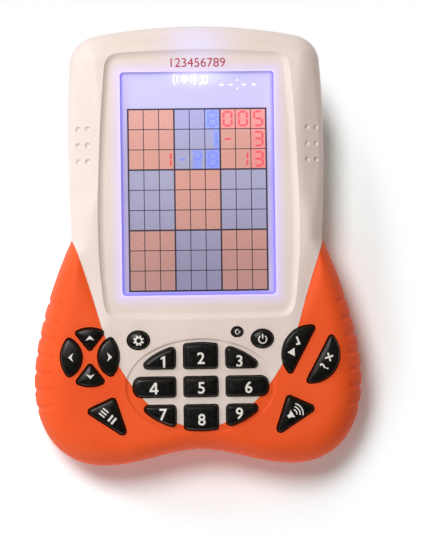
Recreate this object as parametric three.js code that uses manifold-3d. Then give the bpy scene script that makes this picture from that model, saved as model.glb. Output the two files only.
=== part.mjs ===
// Handheld electronic number-puzzle game, lying on its back with the screen facing up.
// Millimetres. X runs to the right, Y to the top edge of the case, Z up out of the screen.
// The origin is the middle of the flat back.

import * as THREE from "three";
import { mergeVertices } from "three/addons/utils/BufferGeometryUtils.js";
import Module from "manifold-3d";

const wasm = await Module();
wasm.setup();

// Clearances
const FIT = 0.3; // between pieces that are put together
const KEY_FIT = 0.35; // round a key in its hole
const CELL_FIT = 0.4; // round a battery in its bay

// Screen window and keypad, which set the plan of the case
const WINDOW_WIDTH = 51.5;
const WINDOW_HEIGHT = 74.6;
const WINDOW_CORNER = 1.3;
const TOP_MARGIN = 15.8; // window to the top edge of the case
const WINDOW_TO_PAD = 14.4; // window to the oval groove
const PAD_WIDTH = 50.5; // oval groove round the number keys
const PAD_HEIGHT = 32.2;
const PAD_TO_FOOT = 10.4; // oval groove to the lowest point of the case
const PAD_TO_CLUSTER = 1.7; // oval groove to the round key clusters
const CLUSTER_RADIUS = 9.95; // arrow keys
const CLUSTER_LIFT = 9.8; // above the middle of the pad
const CLUSTER_TO_EDGE = 8.3;

// Outline of the case
const HEAD_MARGIN = 17.4; // window to the side of the case
const HEAD_CROWN = 3.1; // rise of the arched top edge
const HEAD_CORNER = 10;
const HEAD_TAPER = 1.2; // the sides draw in towards the top corners
const WAIST_TAPER = 1.55; // and towards the waist
const WAIST_RISE = 18.7; // waist above the lower edge of the window
const GRIP_LIFT = 1.5; // widest point above the middle of the pad
const FOOT_INSET = 5.2; // lowest points, in from the middle of the clusters
const FOOT_DIP = 5.1; // hollow between the two feet

// Walls and edges
const SKIN = 1.6; // soft grip layer
const CORE_WALL = 1.1; // hard wall under the soft layer
const HEAD_ROUND = 7.5; // width of the rounded edge round the screen
const GRIP_ROUND = 12; // and round the grips
const BACK_ROUND = 8;
const SEAM_HEIGHT = 11; // where the two shells meet
const SHOULDER_SLOPE = 0.5; // fall of the bevelled shoulders
const SHOULDER_TO_EDGE = 9.2; // crease to the side of the case
const VALLEY_DEPTH = 1.2; // hollow where white and grip meet
const VALLEY_FALL_WHITE = 0.26;
const VALLEY_FALL_GRIP = 0.45;
const DISH_DEPTH = 1.2; // sunk field round the screen
const DISH_SLOPE = 2.2; // width of its sloping wall
const DISH_SIDE = 5.6; // window to the dish edge at its ends
const DISH_SWELL = 2.2; // how far its sides bow out
const DISH_TOP = 6.3;
const DISH_BOTTOM = 7.2;
const DISH_CORNER = 7;
const GROOVE_WIDTH = 0.8;
const GROOVE_DEPTH = 0.5;
const DIMPLE_RADIUS = 0.85;
const DIMPLE_DEPTH = 0.8;
const DIMPLE_COLUMN = 3.1;
const DIMPLE_ROW = 5.4;
const NOTCH_COUNT = 7;
const NOTCH_PITCH = 6;
const NOTCH_RADIUS = 1.25;
const NOTCH_DEPTH = 0.7;
const NOTCH_REACH = 3.4; // from the edge over the front

// Keys
const KEY_COLUMN = 11.7;
const KEY_ROW = 7;
const KEY_GAP = 2.4;
const PAD_RIM_SIDE = 2.45; // oval groove to the outer keys
const PAD_RIM_END = 1.3;
const KEY_CORNER = 1.1;
const KEY_PROUD = 1.5; // above the deck
const KEY_TRAVEL = 1;
const FLANGE = 0.65;
const FLANGE_THICK = 1;
const FLANGE_SINK = 1; // below the flat of the ceiling, clear of the rounded edge
const ARROW_ANGLE = 38; // sides of the up and down keys, in degrees
const ARROW_APEX = 1.5;
const LEAF_RADIUS = 7.2; // inner side of the left and right keys
const LEAF_APEX = 2.4;
const MOON_RADIUS = 9.25; // two half-moon keys
const MOON_GAP = 5.4;
const MOON_ANGLE = 62;
const MOON_LIFT = 1.2;
const OVAL_WIDTH = 7.8;
const OVAL_HEIGHT = 6.5;
const SMALL_OVAL_WIDTH = 4.2;
const SMALL_OVAL_HEIGHT = 3.6;
const CORNER_KEY = [[-1.4, 6.1], [7.85, 1.3], [-6.45, -7.4]]; // three-cornered key about its middle
const CORNER_KEY_ROUND = 1.7;

// Screen, board and mat
const LENS_THICK = 1;
const LENS_LAP = 2; // lens beyond the window
const LENS_SINK = 1.3; // lens below the dish floor
const LCD_THICK = 2.2;
const LCD_BORDER = 2;
const LCD_LEDGE = 5.5; // lower border with the contacts
const GUIDE_THICK = 1.6;
const FRAME_WALL = 1.3;
const STRIP_WIDTH = 2;
const BOARD_THICK = 1.6;
const BOARD_INSET = 6.4; // board inside the outline of the case
const CHIP_RADIUS = 6;
const CHIP_HEIGHT = 1.4;
const MAT_THICK = 0.8;
const DOME_RADIUS = 1.7;
const DOME_FLARE = 0.6;
const LAMP_RADIUS = 1.5;
const LAMP_HEIGHT = 3.4;

// Power and sound
const CELL_LENGTH = 44.5;
const CELL_DIAMETER = 10.5;
const CELL_NUB_RADIUS = 1.9;
const CELL_NUB = 0.8;
const CELL_PITCH = 11.1;
const BAY_MIDDLE = -6;
const TUB_WALL = 1.2;
const CONTACT_THICK = 0.5;
const CONTACT_SIZE = 7.4;
const SPRING_LENGTH = 5;
const SPRING_RADIUS = 3;
const SPRING_TIP_RADIUS = 2.1;
const SPRING_TURNS = 3;
const SPRING_WIRE = 0.6;
const SPRING_POINTS = 6; // points on one turn
const DOOR_THICK = 2;
const DOOR_SINK = 0.3; // door below the flat back
const DOOR_LAP = 2; // door over the ledge round the bay
const DOOR_CORNER = 2;
const TAB_ROOM = 4; // pocket for the door tabs
const TAB_WIDTH = 6;
const TAB_HOOK = 0.7; // tab over the ledge
const TAB_THICK = 1;
const LEDGE_THICK = 1; // ledge that the tabs hook over
const LATCH_RISE = 1.2; // latch inside the bay wall
const BUZZER_RADIUS = 10;
const BUZZER_THICK = 0.5;
const BUZZER_RING = 1.4; // height of the ring it sits on
const BUZZER_LAP = 2.6; // disc over the hollow of the ring
const BUZZER_BELOW_TOP = 28;
const SOUND_HOLE = 0.8; // radius
const LEAD_RADIUS = 0.55;

// Screws
const SCREW_HEAD_RADIUS = 2.5;
const SCREW_HEAD_HEIGHT = 1.7;
const SCREW_RADIUS = 1.25;
const SCREW_LENGTH = 12;
const SCREW_SINK = 3.2; // head seat above the back
const SCREW_FROM_SIDE = 9.7; // lower screws, in from the widest point
const SCREW_BELOW_PAD = 9.8; // and below the middle of the pad
const POST_WALL = 1.1;
const BOARD_SCREW_LENGTH = 4.4;
const BOARD_SCREW_RADIUS = 0.9;
const BOARD_SCREW_HEAD = 1.8;

// Stack of the pieces from the back to the deck
const wall = SKIN + FIT + CORE_WALL;
const doorInner = DOOR_SINK + DOOR_THICK;
const cellZ = doorInner + CELL_FIT + CELL_DIAMETER / 2;
const bayRoof = cellZ + CELL_DIAMETER / 2 + CELL_FIT;
const tubTop = bayRoof + TUB_WALL;
const buzzerBottom = wall + BUZZER_RING;
const boardBottom = tubTop + FIT + CHIP_HEIGHT;
const boardTop = boardBottom + BOARD_THICK;
const guideTop = boardTop + GUIDE_THICK;
const lcdBottom = guideTop + FIT;
const lcdTop = lcdBottom + LCD_THICK;
const lensBottom = lcdTop + FIT;
const lensTop = lensBottom + LENS_THICK;
const dishFloor = lensTop + LENS_SINK;
const deck = dishFloor + DISH_DEPTH;
const cavityTop = deck - wall;
const flangeTop = cavityTop - FIT - FLANGE_SINK;
const flangeBottom = flangeTop - FLANGE_THICK;
const matTop = boardTop + MAT_THICK;
const domeTop = flangeBottom - KEY_TRAVEL - FIT;

// Places in the plan
const length = TOP_MARGIN + WINDOW_HEIGHT + WINDOW_TO_PAD + PAD_HEIGHT + PAD_TO_FOOT;
const topY = length / 2;
const footY = -length / 2;
const windowTop = topY - TOP_MARGIN;
const windowBottom = windowTop - WINDOW_HEIGHT;
const padTop = windowBottom - WINDOW_TO_PAD;
const padY = padTop - PAD_HEIGHT / 2;
const headHalf = WINDOW_WIDTH / 2 + HEAD_MARGIN;
const clusterX = PAD_WIDTH / 2 + PAD_TO_CLUSTER + CLUSTER_RADIUS;
const clusterY = padY + CLUSTER_LIFT;
const gripHalf = clusterX + CLUSTER_RADIUS + CLUSTER_TO_EDGE;
const gripY = padY + GRIP_LIFT;
const waistHalf = headHalf - WAIST_TAPER;
const waistY = windowBottom + WAIST_RISE;
const frameBottom = windowBottom - LCD_LEDGE - FIT - FRAME_WALL;
const frameTop = windowTop + LCD_BORDER + FIT + FRAME_WALL;
const frameHalf = WINDOW_WIDTH / 2 + LCD_BORDER + FIT + FRAME_WALL;
const bayHalf = 1.5 * CELL_PITCH + CELL_FIT;
const bayLength = CELL_LENGTH + SPRING_LENGTH + 2 * CONTACT_THICK + 2 * FIT;
const bayLow = BAY_MIDDLE - bayLength / 2;
const bayHigh = BAY_MIDDLE + bayLength / 2;
const doorHigh = bayHigh + TAB_ROOM + DOOR_LAP - FIT;
const doorLow = bayLow - DOOR_LAP + FIT;
const ledgeEdge = bayHigh + TAB_ROOM;
const hookLow = doorInner + FIT + LEDGE_THICK + FIT;
const hookHigh = hookLow + TAB_THICK;
const tabX = bayHalf - 1 - TAB_WIDTH;
const postRadius = SCREW_HEAD_RADIUS + FIT + POST_WALL;
const screwHole = SCREW_RADIUS + FIT;
const bossRadius = screwHole + POST_WALL;
const boardScrewHole = BOARD_SCREW_RADIUS + FIT;
const boardBossRadius = boardScrewHole + POST_WALL;
const buzzerY = topY - BUZZER_BELOW_TOP;

const screwPlaces = [
  [frameHalf + FIT + bossRadius + 1, frameTop - 1],
  [frameHalf + FIT + bossRadius + 2, waistY - 4],
  [gripHalf - SCREW_FROM_SIDE, padY - SCREW_BELOW_PAD],
].flatMap(([x, y]) => [[-x, y], [x, y]]);
const boardScrewPlaces = [
  [frameHalf + FIT + boardBossRadius + 0.6, windowTop - 13],
  [clusterX - 9.3, frameBottom - boardBossRadius - FIT - 0.1],
].flatMap(([x, y]) => [[-x, y], [x, y]]);

// Solids and geometry

function solid(geometry) {
  const bare = new THREE.BufferGeometry();
  const loose = geometry.index ? geometry.toNonIndexed() : geometry;
  bare.setAttribute("position", loose.getAttribute("position"));
  const merged = mergeVertices(bare, 1e-4);
  const triangles = new Uint32Array(merged.index.array);
  const build = (triVerts) =>
    new wasm.Manifold(
      new wasm.Mesh({ numProp: 3, vertProperties: merged.attributes.position.array, triVerts }),
    );
  const made = build(triangles);
  if (made.volume() > 0) return made;
  for (let i = 0; i < triangles.length; i += 3) {
    [triangles[i + 1], triangles[i + 2]] = [triangles[i + 2], triangles[i + 1]];
  }
  return build(triangles);
}

function geometryOf(body) {
  const mesh = body.getMesh();
  const geometry = new THREE.BufferGeometry();
  geometry.setAttribute("position", new THREE.BufferAttribute(mesh.vertProperties, 3));
  geometry.setIndex(new THREE.BufferAttribute(mesh.triVerts, 1));
  const faceted = geometry.toNonIndexed();
  faceted.computeVertexNormals();
  return faceted;
}

const cut = (body, tools) => tools.reduce((left, tool) => left.subtract(tool), body);
const join = (bodies) => bodies.reduce((all, next) => all.add(next));

const point = (x, y) => new THREE.Vector2(x, y);
const degrees = (angle) => (angle * Math.PI) / 180;

// Straight prism over a plan outline
function prism(outline, low, high) {
  const options = { depth: high - low, bevelEnabled: false, curveSegments: 6 };
  return solid(new THREE.ExtrudeGeometry(new THREE.Shape(outline), options).translate(0, 0, low));
}

// Upright cylinder or cone
function drum(x, y, low, high, radius, topRadius = radius, sides = 8) {
  const geometry = new THREE.CylinderGeometry(topRadius, radius, high - low, sides);
  return solid(geometry.rotateX(Math.PI / 2).translate(x, y, (low + high) / 2));
}

// Hidden hole for a screw or for sound
const bore = (x, y, low, high, radius) => drum(x, y, low, high, radius, radius, 6);

// Upright turned piece, its profile given from the axis at the bottom to the axis at the top
function turned(profile, sides = 14) {
  const points = profile.map(([radius, z]) => point(radius, z));
  return solid(new THREE.LatheGeometry(points, sides).rotateX(Math.PI / 2));
}

function box(lowX, highX, lowY, highY, low, high) {
  const geometry = new THREE.BoxGeometry(highX - lowX, highY - lowY, high - low);
  return solid(geometry.translate((lowX + highX) / 2, (lowY + highY) / 2, (low + high) / 2));
}

// Skin over rings of matching points, closed at both ends
function loft(rings) {
  const count = rings[0].length;
  const positions = rings.flat().flatMap((p) => [p.x, p.y, p.z]);
  const faces = [];
  for (let k = 0; k + 1 < rings.length; k += 1) {
    for (let i = 0; i < count; i += 1) {
      const a = k * count + i;
      const b = k * count + ((i + 1) % count);
      faces.push(a, b, b + count, a, b + count, a + count);
    }
  }
  const last = (rings.length - 1) * count;
  for (const [a, b, c] of endFaces(rings[0])) faces.push(c, b, a);
  for (const [a, b, c] of endFaces(rings[rings.length - 1])) faces.push(last + a, last + b, last + c);
  const geometry = new THREE.BufferGeometry();
  geometry.setAttribute("position", new THREE.Float32BufferAttribute(positions, 3));
  geometry.setIndex(faces);
  return solid(geometry);
}

// Triangles that close a ring: flat rings by their plan, upright sections as a fan
function endFaces(ring) {
  const flat = ring.every((p) => Math.abs(p.z - ring[0].z) < 1e-6);
  if (flat) return THREE.ShapeUtils.triangulateShape(ring.map((p) => point(p.x, p.y)), []);
  return ring.slice(2).map((_, i) => [0, i + 1, i + 2]);
}

// Round bar along a smooth route
function bar(route, radius, sides, steps) {
  const section = new THREE.Shape();
  for (let i = 0; i < sides; i += 1) {
    const angle = (2 * Math.PI * i) / sides;
    const place = [radius * Math.cos(angle), radius * Math.sin(angle)];
    if (i === 0) section.moveTo(...place);
    else section.lineTo(...place);
  }
  const extrudePath = new THREE.CatmullRomCurve3(route);
  return solid(new THREE.ExtrudeGeometry(section, { steps, extrudePath, bevelEnabled: false }));
}

// Plan outlines

const cubic = (a, b, c, d, count) => new THREE.CubicBezierCurve(a, b, c, d).getPoints(count);

// Joins curves end to end, each without the last point of the one before
const chain = (curves) => curves.flatMap((curve, i) => (i === 0 ? curve : curve.slice(1)));

// Closed outline from its right half, listed from the middle of the top to the middle of the bottom
function mirrored(half) {
  const left = half.slice(1, -1).map((p) => point(-p.x, p.y));
  return [...half.slice().reverse(), ...left];
}

function outwardNormals(outline) {
  const count = outline.length;
  return outline.map((p, i) => {
    const before = outline[(i + count - 1) % count];
    const after = outline[(i + 1) % count];
    const a = p.clone().sub(before).normalize();
    const b = after.clone().sub(p).normalize();
    const mean = a.add(b).normalize();
    return point(mean.y, -mean.x);
  });
}

const inset = (outline, distance) => {
  const normals = outwardNormals(outline);
  return outline.map((p, i) => p.clone().addScaledVector(normals[i], -distance));
};

function caseOutline() {
  const crownX = headHalf - HEAD_CORNER;
  const crownY = topY - HEAD_CROWN;
  const cornerEnd = point(headHalf - HEAD_TAPER, crownY - 0.92 * HEAD_CORNER);
  const waist = point(waistHalf, waistY);
  const widest = point(gripHalf, gripY);
  const foot = point(clusterX - FOOT_INSET, footY);
  const dip = point(0, footY + FOOT_DIP);
  const sideLength = cornerEnd.y - waistY;
  const flare = point(gripHalf - waistHalf, waistY - gripY);
  const lobe = point(gripHalf - foot.x, gripY - footY);
  const crown = new THREE.QuadraticBezierCurve(
    point(0, topY),
    point(crownX / 2, topY),
    point(crownX, crownY),
  ).getPoints(3);
  const crownFall = (2 * HEAD_CROWN) / crownX;
  const corner = cubic(
    point(crownX, crownY),
    point(crownX + HEAD_CORNER / 2, crownY - (crownFall * HEAD_CORNER) / 2),
    point(cornerEnd.x - HEAD_TAPER / 3, cornerEnd.y + HEAD_CORNER / 2),
    cornerEnd,
    4,
  );
  const side = cubic(
    cornerEnd,
    point(headHalf + HEAD_TAPER / 2, cornerEnd.y - sideLength / 3),
    point(headHalf, waistY + sideLength / 3),
    waist,
    5,
  );
  const grip = cubic(
    waist,
    point(waistHalf + 0.55 * flare.x, waistY - 0.32 * flare.y),
    point(gripHalf, gripY + 0.27 * flare.y),
    widest,
    6,
  );
  const round = cubic(
    widest,
    point(gripHalf, gripY - 0.57 * lobe.y),
    point(foot.x + 0.66 * lobe.x, footY),
    foot,
    7,
  );
  const hollow = cubic(foot, point(0.64 * foot.x, footY), point(0.32 * foot.x, dip.y), dip, 5);
  return mirrored(chain([crown, corner, side, grip, round, hollow]));
}

// Edge of the orange field, from its tip at the waist to the middle of the bottom
function splitHalf(shift) {
  const tip = point(waistHalf, waistY);
  const neck = point(clusterX - 3.9, clusterY + CLUSTER_RADIUS + 0.65);
  const low = point(0, padY - PAD_HEIGHT / 2 + 2.3);
  const run = tip.y - neck.y;
  const drop = neck.y - low.y;
  const upper = cubic(
    tip,
    point(tip.x - 3.3, tip.y - 0.29 * run),
    point(neck.x + 2.5, neck.y + 0.31 * run),
    neck,
    8,
  );
  const lower = cubic(neck, point(neck.x - 5.4, neck.y - 0.41 * drop), point(neck.x / 2, low.y), low, 10);
  const line = chain([upper, lower]);
  if (shift === 0) return line;
  return line.map((p, i) => {
    const before = line[Math.max(i - 1, 0)];
    const after = line[Math.min(i + 1, line.length - 1)];
    const along = after.clone().sub(before).normalize();
    return p.clone().add(point(along.y, -along.x).multiplyScalar(shift));
  });
}

// Orange field as a prism, its edge moved towards the white by a clearance
function gripField(shift, low, high) {
  const half = splitHalf(shift);
  const far = gripHalf + 10;
  const left = half.slice(0, -1).reverse().map((p) => point(-p.x, p.y));
  const tip = half[0];
  const field = [
    point(far, tip.y),
    ...half,
    ...left,
    point(-far, tip.y),
    point(-far, footY - 10),
    point(far, footY - 10),
  ];
  return prism(field, low, high);
}

function roundedBox(lowX, highX, lowY, highY, radius) {
  const shape = new THREE.Shape();
  shape.moveTo(lowX + radius, lowY);
  shape.lineTo(highX - radius, lowY);
  shape.absarc(highX - radius, lowY + radius, radius, -Math.PI / 2, 0);
  shape.absarc(highX - radius, highY - radius, radius, 0, Math.PI / 2);
  shape.absarc(lowX + radius, highY - radius, radius, Math.PI / 2, Math.PI);
  shape.absarc(lowX + radius, lowY + radius, radius, Math.PI, 1.5 * Math.PI);
  return distinct(shape.getPoints(2));
}

function distinct(points) {
  const kept = points.filter((p, i) => i === 0 || p.distanceTo(points[i - 1]) > 1e-3);
  if (kept[0].distanceTo(kept[kept.length - 1]) < 1e-3) kept.pop();
  return kept;
}

function oval(x, y, halfWidth, halfHeight, sides) {
  return Array.from({ length: sides }, (_, i) => {
    const angle = (2 * Math.PI * i) / sides;
    return point(x + halfWidth * Math.cos(angle), y + halfHeight * Math.sin(angle));
  });
}

// Part of a convex outline on the side of a line that its normal points to
function clip(outline, origin, normal) {
  const kept = [];
  outline.forEach((p, i) => {
    const q = outline[(i + 1) % outline.length];
    const a = p.clone().sub(origin).dot(normal);
    const b = q.clone().sub(origin).dot(normal);
    if (a >= 0) kept.push(p);
    if (a * b < 0) kept.push(p.clone().lerp(q, a / (a - b)));
  });
  return distinct(kept);
}

// Convex outline drawn in by a distance, edge by edge
function drawnIn(outline, distance) {
  return outline.reduce((left, p, i) => {
    const along = outline[(i + 1) % outline.length].clone().sub(p).normalize();
    const normal = point(-along.y, along.x);
    return clip(left, p.clone().addScaledVector(normal, distance), normal);
  }, outline);
}

// Convex core grown by a radius, with round corners
function grown(core, radius) {
  const count = core.length;
  return core.flatMap((p, i) => {
    const a = p.clone().sub(core[(i + count - 1) % count]);
    const b = core[(i + 1) % count].clone().sub(p);
    const start = Math.atan2(-a.x, a.y);
    const turn = (Math.atan2(-b.x, b.y) - start + 4 * Math.PI) % (2 * Math.PI);
    const steps = Math.ceil(turn / degrees(50) - 0.75);
    const shares = steps < 1 ? [0.5] : Array.from({ length: steps + 1 }, (_, k) => k / steps);
    return shares.map((share) => {
      const angle = start + turn * share;
      return point(p.x + radius * Math.cos(angle), p.y + radius * Math.sin(angle));
    });
  });
}

// Case form

const outline = caseOutline();
const normals = outwardNormals(outline);
const everySecond = (points) => points.filter((_, i) => i % 2 === 0);
const plainOutline = everySecond(outline); // for faces inside the case
const smooth = (low, high, value) => THREE.MathUtils.smoothstep(value, low, high);

// Share of the wide grip rounding at a place: none at the head and in the hollow between the feet
const gripShare = (p) => smooth(-waistY, -gripY, -p.y) * smooth(clusterX / 2, clusterX, Math.abs(p.x));

const frontSide = {
  sign: 1,
  height: deck - SEAM_HEIGHT,
  round: (p) => THREE.MathUtils.lerp(HEAD_ROUND, GRIP_ROUND, gripShare(p)),
};
const rearSide = { sign: -1, height: SEAM_HEIGHT, round: () => BACK_ROUND };
const EDGE_POWER = 0.8; // fuller than an ellipse
const OUTER_STEPS = 4;
const INNER_STEPS = 3;

// One point of the rounded edge: how far in from the outline, and how far from the seam
function edgePoint(side, place, share) {
  const angle = (share * Math.PI) / 2;
  const inward = side.round(place) * (1 - Math.max(Math.cos(angle), 0) ** EDGE_POWER);
  return point(inward, side.height * Math.sin(angle) ** EDGE_POWER);
}

// Ring of the form, drawn in by a depth that is measured square to the surface
function formRing(side, share, depth) {
  return outline.map((p, i) => {
    const here = edgePoint(side, p, share);
    const step = 0.02;
    const before = edgePoint(side, p, Math.max(share - step, 0));
    const along = edgePoint(side, p, Math.min(share + step, 1)).sub(before).normalize();
    if (share === 0) along.set(0, 1);
    if (share === 1) along.set(1, 0);
    const inward = here.x + depth * along.y;
    const rise = here.y - depth * along.x;
    const place = p.clone().addScaledVector(normals[i], -inward);
    return new THREE.Vector3(place.x, place.y, SEAM_HEIGHT + side.sign * rise);
  });
}

const formRings = (side, depth, steps) =>
  Array.from({ length: steps + 1 }, (_, k) => formRing(side, k / steps, depth));

// Half of the case form
const form = (side) => loft(formRings(side, 0, OUTER_STEPS));

// Plainer form inside the case, drawn in by a depth and running on past the seam, to cut with
function innerForm(side, depth) {
  const rings = formRings(side, depth, INNER_STEPS).map(everySecond);
  const skirt = rings[0].map((p) => new THREE.Vector3(p.x, p.y, p.z - side.sign));
  return loft([skirt, ...rings]);
}

// Keys

const ellipsePad = oval(0, padY, PAD_WIDTH / 2 - PAD_RIM_SIDE, PAD_HEIGHT / 2 - PAD_RIM_END, 22);

function numberKey(column, row) {
  let shape = ellipsePad;
  const edges = [
    [column, KEY_COLUMN, point(1, 0)],
    [row, KEY_ROW, point(0, 1)],
  ];
  for (const [index, size, axis] of edges) {
    const near = size / 2 + KEY_GAP;
    const low = index === 1 ? near : index === 0 ? -size / 2 : -Infinity;
    const high = index === -1 ? -near : index === 0 ? size / 2 : Infinity;
    const middle = point(0, padY);
    if (low > -Infinity) shape = clip(shape, middle.clone().addScaledVector(axis, low), axis);
    const back = axis.clone().negate();
    if (high < Infinity) shape = clip(shape, middle.clone().addScaledVector(axis, high), back);
  }
  return shape;
}

// Up or down key: a slice of the round cluster
function arrowKey(direction) {
  const angle = degrees(ARROW_ANGLE);
  const apex = point(-clusterX, clusterY + direction * ARROW_APEX);
  const disc = oval(-clusterX, clusterY, CLUSTER_RADIUS, CLUSTER_RADIUS, 18);
  const left = point(Math.cos(angle), direction * Math.sin(angle));
  const right = point(-Math.cos(angle), direction * Math.sin(angle));
  return clip(clip(disc, apex, left), apex, right);
}

// Left or right key: where two discs overlap
function leafKey(direction) {
  const disc = oval(-clusterX, clusterY, CLUSTER_RADIUS, CLUSTER_RADIUS, 18);
  const middle = -clusterX + direction * (LEAF_APEX + LEAF_RADIUS);
  const other = oval(middle, clusterY, LEAF_RADIUS, LEAF_RADIUS, 14);
  return other.reduce((left, p, i) => {
    const along = other[(i + 1) % other.length].clone().sub(p).normalize();
    return clip(left, p, point(-along.y, along.x));
  }, disc);
}

function moonKey(direction) {
  const angle = degrees(MOON_ANGLE);
  const middle = point(clusterX, clusterY + MOON_LIFT);
  const normal = point(Math.sin(angle), -Math.cos(angle)).multiplyScalar(direction);
  const disc = oval(middle.x, middle.y, MOON_RADIUS, MOON_RADIUS, 18);
  return clip(disc, middle.clone().addScaledVector(normal, MOON_GAP / 2), normal);
}

function cornerKey(direction) {
  const middle = point(clusterX - 5.85, padY - 8.9);
  const corners = CORNER_KEY.map(([x, y]) => point(direction * (middle.x + x), middle.y + y));
  return direction === 1 ? corners.reverse() : corners;
}

const ovalY = padTop - 0.4;
const ovalX = 0.82 * (PAD_WIDTH / 2);
const smallOvalX = ovalX - OVAL_WIDTH / 2 - SMALL_OVAL_WIDTH / 2 - KEY_GAP;

const ovalKey = (x) => oval(x, ovalY, OVAL_WIDTH / 2, OVAL_HEIGHT / 2, 12);
const smallOvalKey = oval(smallOvalX, padTop + 2, SMALL_OVAL_WIDTH / 2, SMALL_OVAL_HEIGHT / 2, 10);

const keyShapes = [
  ...Array.from({ length: 9 }, (_, i) => {
    return { name: `key_${i + 1}`, shape: numberKey((i % 3) - 1, 1 - Math.floor(i / 3)) };
  }),
  { name: "key_up", shape: arrowKey(1) },
  { name: "key_down", shape: arrowKey(-1) },
  { name: "key_left", shape: leafKey(-1) },
  { name: "key_right", shape: leafKey(1) },
  { name: "key_start", shape: moonKey(-1) },
  { name: "key_help", shape: moonKey(1) },
  { name: "key_mode", shape: cornerKey(-1), corner: CORNER_KEY_ROUND },
  { name: "key_sound", shape: cornerKey(1), corner: CORNER_KEY_ROUND },
  { name: "key_set", shape: ovalKey(-ovalX) },
  { name: "key_power", shape: ovalKey(ovalX) },
  { name: "key_reset", shape: smallOvalKey },
];

function middleOf(shape) {
  const area = THREE.ShapeUtils.area(shape);
  const sum = point(0, 0);
  shape.forEach((p, i) => {
    const q = shape[(i + 1) % shape.length];
    sum.addScaledVector(p.clone().add(q), p.cross(q) / (6 * area));
  });
  return sum;
}

const keys = keyShapes.map(({ name, shape, corner = KEY_CORNER }) => {
  const core = drawnIn(shape, corner);
  return { name, core, corner, middle: middleOf(shape) };
});

// Cap with a flange below the deck and a rounded top edge
function keySolid({ core, corner }) {
  const top = deck + KEY_PROUD;
  const ring = (offset, z) => grown(core, corner + offset).map((p) => new THREE.Vector3(p.x, p.y, z));
  return loft([
    ring(FLANGE, flangeBottom),
    ring(FLANGE, flangeTop),
    ring(0, flangeTop),
    ring(0, top - 0.7),
    ring(-0.7, top),
  ]);
}

const keyHoles = keys.map(({ core, corner }) => prism(grown(core, corner + KEY_FIT), boardTop, deck + 1));

// Cuts into the front

function dishOutline() {
  const low = windowBottom - DISH_BOTTOM;
  const high = windowTop + DISH_TOP;
  const half = WINDOW_WIDTH / 2 + DISH_SIDE;
  const middle = (low + high) / 2;
  const top = [point(0, high), point(half - DISH_CORNER, high)];
  const corner = (from, control, to) => new THREE.QuadraticBezierCurve(from, control, to).getPoints(3);
  const upper = corner(top[1], point(half, high), point(half, high - DISH_CORNER));
  const bow = new THREE.QuadraticBezierCurve(
    upper[3],
    point(half + 2 * DISH_SWELL, middle),
    point(half, low + DISH_CORNER),
  ).getPoints(5);
  const lower = corner(bow[5], point(half, low), point(half - DISH_CORNER, low));
  return mirrored(chain([top, upper, bow, lower, [lower[3], point(0, low)]]));
}

function dishCutter() {
  const edge = dishOutline();
  const ring = (depth, z) => inset(edge, depth).map((p) => new THREE.Vector3(p.x, p.y, z));
  return loft([
    ring(DISH_SLOPE, dishFloor),
    ring(0.7 * DISH_SLOPE, dishFloor + 0.15 * DISH_DEPTH),
    ring(0, deck),
    ring(0, deck + 1),
  ]);
}

// Bevelled shoulder beside the screen: its crease bows in and runs out at the waist
function shoulderCutter(side) {
  const middle = waistY + 0.42 * (topY - waistY);
  const over = 0.4;
  const far = gripHalf;
  const rings = [];
  for (let i = 0; i <= 8; i += 1) {
    const y = THREE.MathUtils.lerp(waistY - 1, topY + 1, i / 8);
    const away = (y - middle) / (y > middle ? topY - middle : middle - waistY);
    const bow = away > 0 ? 3.6 * away ** 2 : SHOULDER_TO_EDGE * Math.abs(away) ** 3;
    const crease = headHalf - SHOULDER_TO_EDGE + bow;
    rings.push([
      new THREE.Vector3(side * (crease - over / SHOULDER_SLOPE), y, deck + over),
      new THREE.Vector3(side * far, y, deck - SHOULDER_SLOPE * (far - crease)),
      new THREE.Vector3(side * far, y, deck + over),
    ]);
  }
  return loft(rings);
}

// Hollow along the upper edge of the orange field, running out beside the clusters
function valleyCutter(side) {
  const line = splitHalf(0).slice(0, 9);
  const over = 0.4;
  const rings = line.map((p, i) => {
    const before = line[Math.max(i - 1, 0)];
    const after = line[Math.min(i + 1, line.length - 1)];
    const along = after.clone().sub(before).normalize();
    const share = i / (line.length - 1);
    const depth = VALLEY_DEPTH * (1 - share ** 2) - 0.3 * over;
    const place = (offset, z) =>
      new THREE.Vector3(side * (p.x + along.y * offset), p.y - along.x * offset, z);
    return [
      place((depth + over) / VALLEY_FALL_WHITE, deck + over),
      place(0, deck - depth),
      place(-(depth + over) / VALLEY_FALL_GRIP, deck + over),
    ];
  });
  return loft(rings);
}

function ovalGroove() {
  const band = (grow) => oval(0, padY, PAD_WIDTH / 2 + grow, PAD_HEIGHT / 2 + grow, 28);
  const low = deck - GROOVE_DEPTH;
  const inner = prism(band(-GROOVE_WIDTH / 2), low - 1, deck + 2);
  return prism(band(GROOVE_WIDTH / 2), low, deck + 1).subtract(inner);
}

function dimples() {
  const middleY = waistY + 0.44 * (topY - waistY);
  const places = [-1, 1].flatMap((side) =>
    [0, 1].flatMap((column) =>
      [-1, 0, 1].map((row) => ({ side, from: 2.8 + column * DIMPLE_COLUMN, y: middleY + row * DIMPLE_ROW })),
    ),
  );
  return places.map(({ side, from, y }) => {
    const floor = deck - SHOULDER_SLOPE * from - DIMPLE_DEPTH;
    const x = side * (headHalf - SHOULDER_TO_EDGE + from);
    return drum(x, y, floor, deck + 1, 0.6 * DIMPLE_RADIUS, DIMPLE_RADIUS * 1.8, 6);
  });
}

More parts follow.
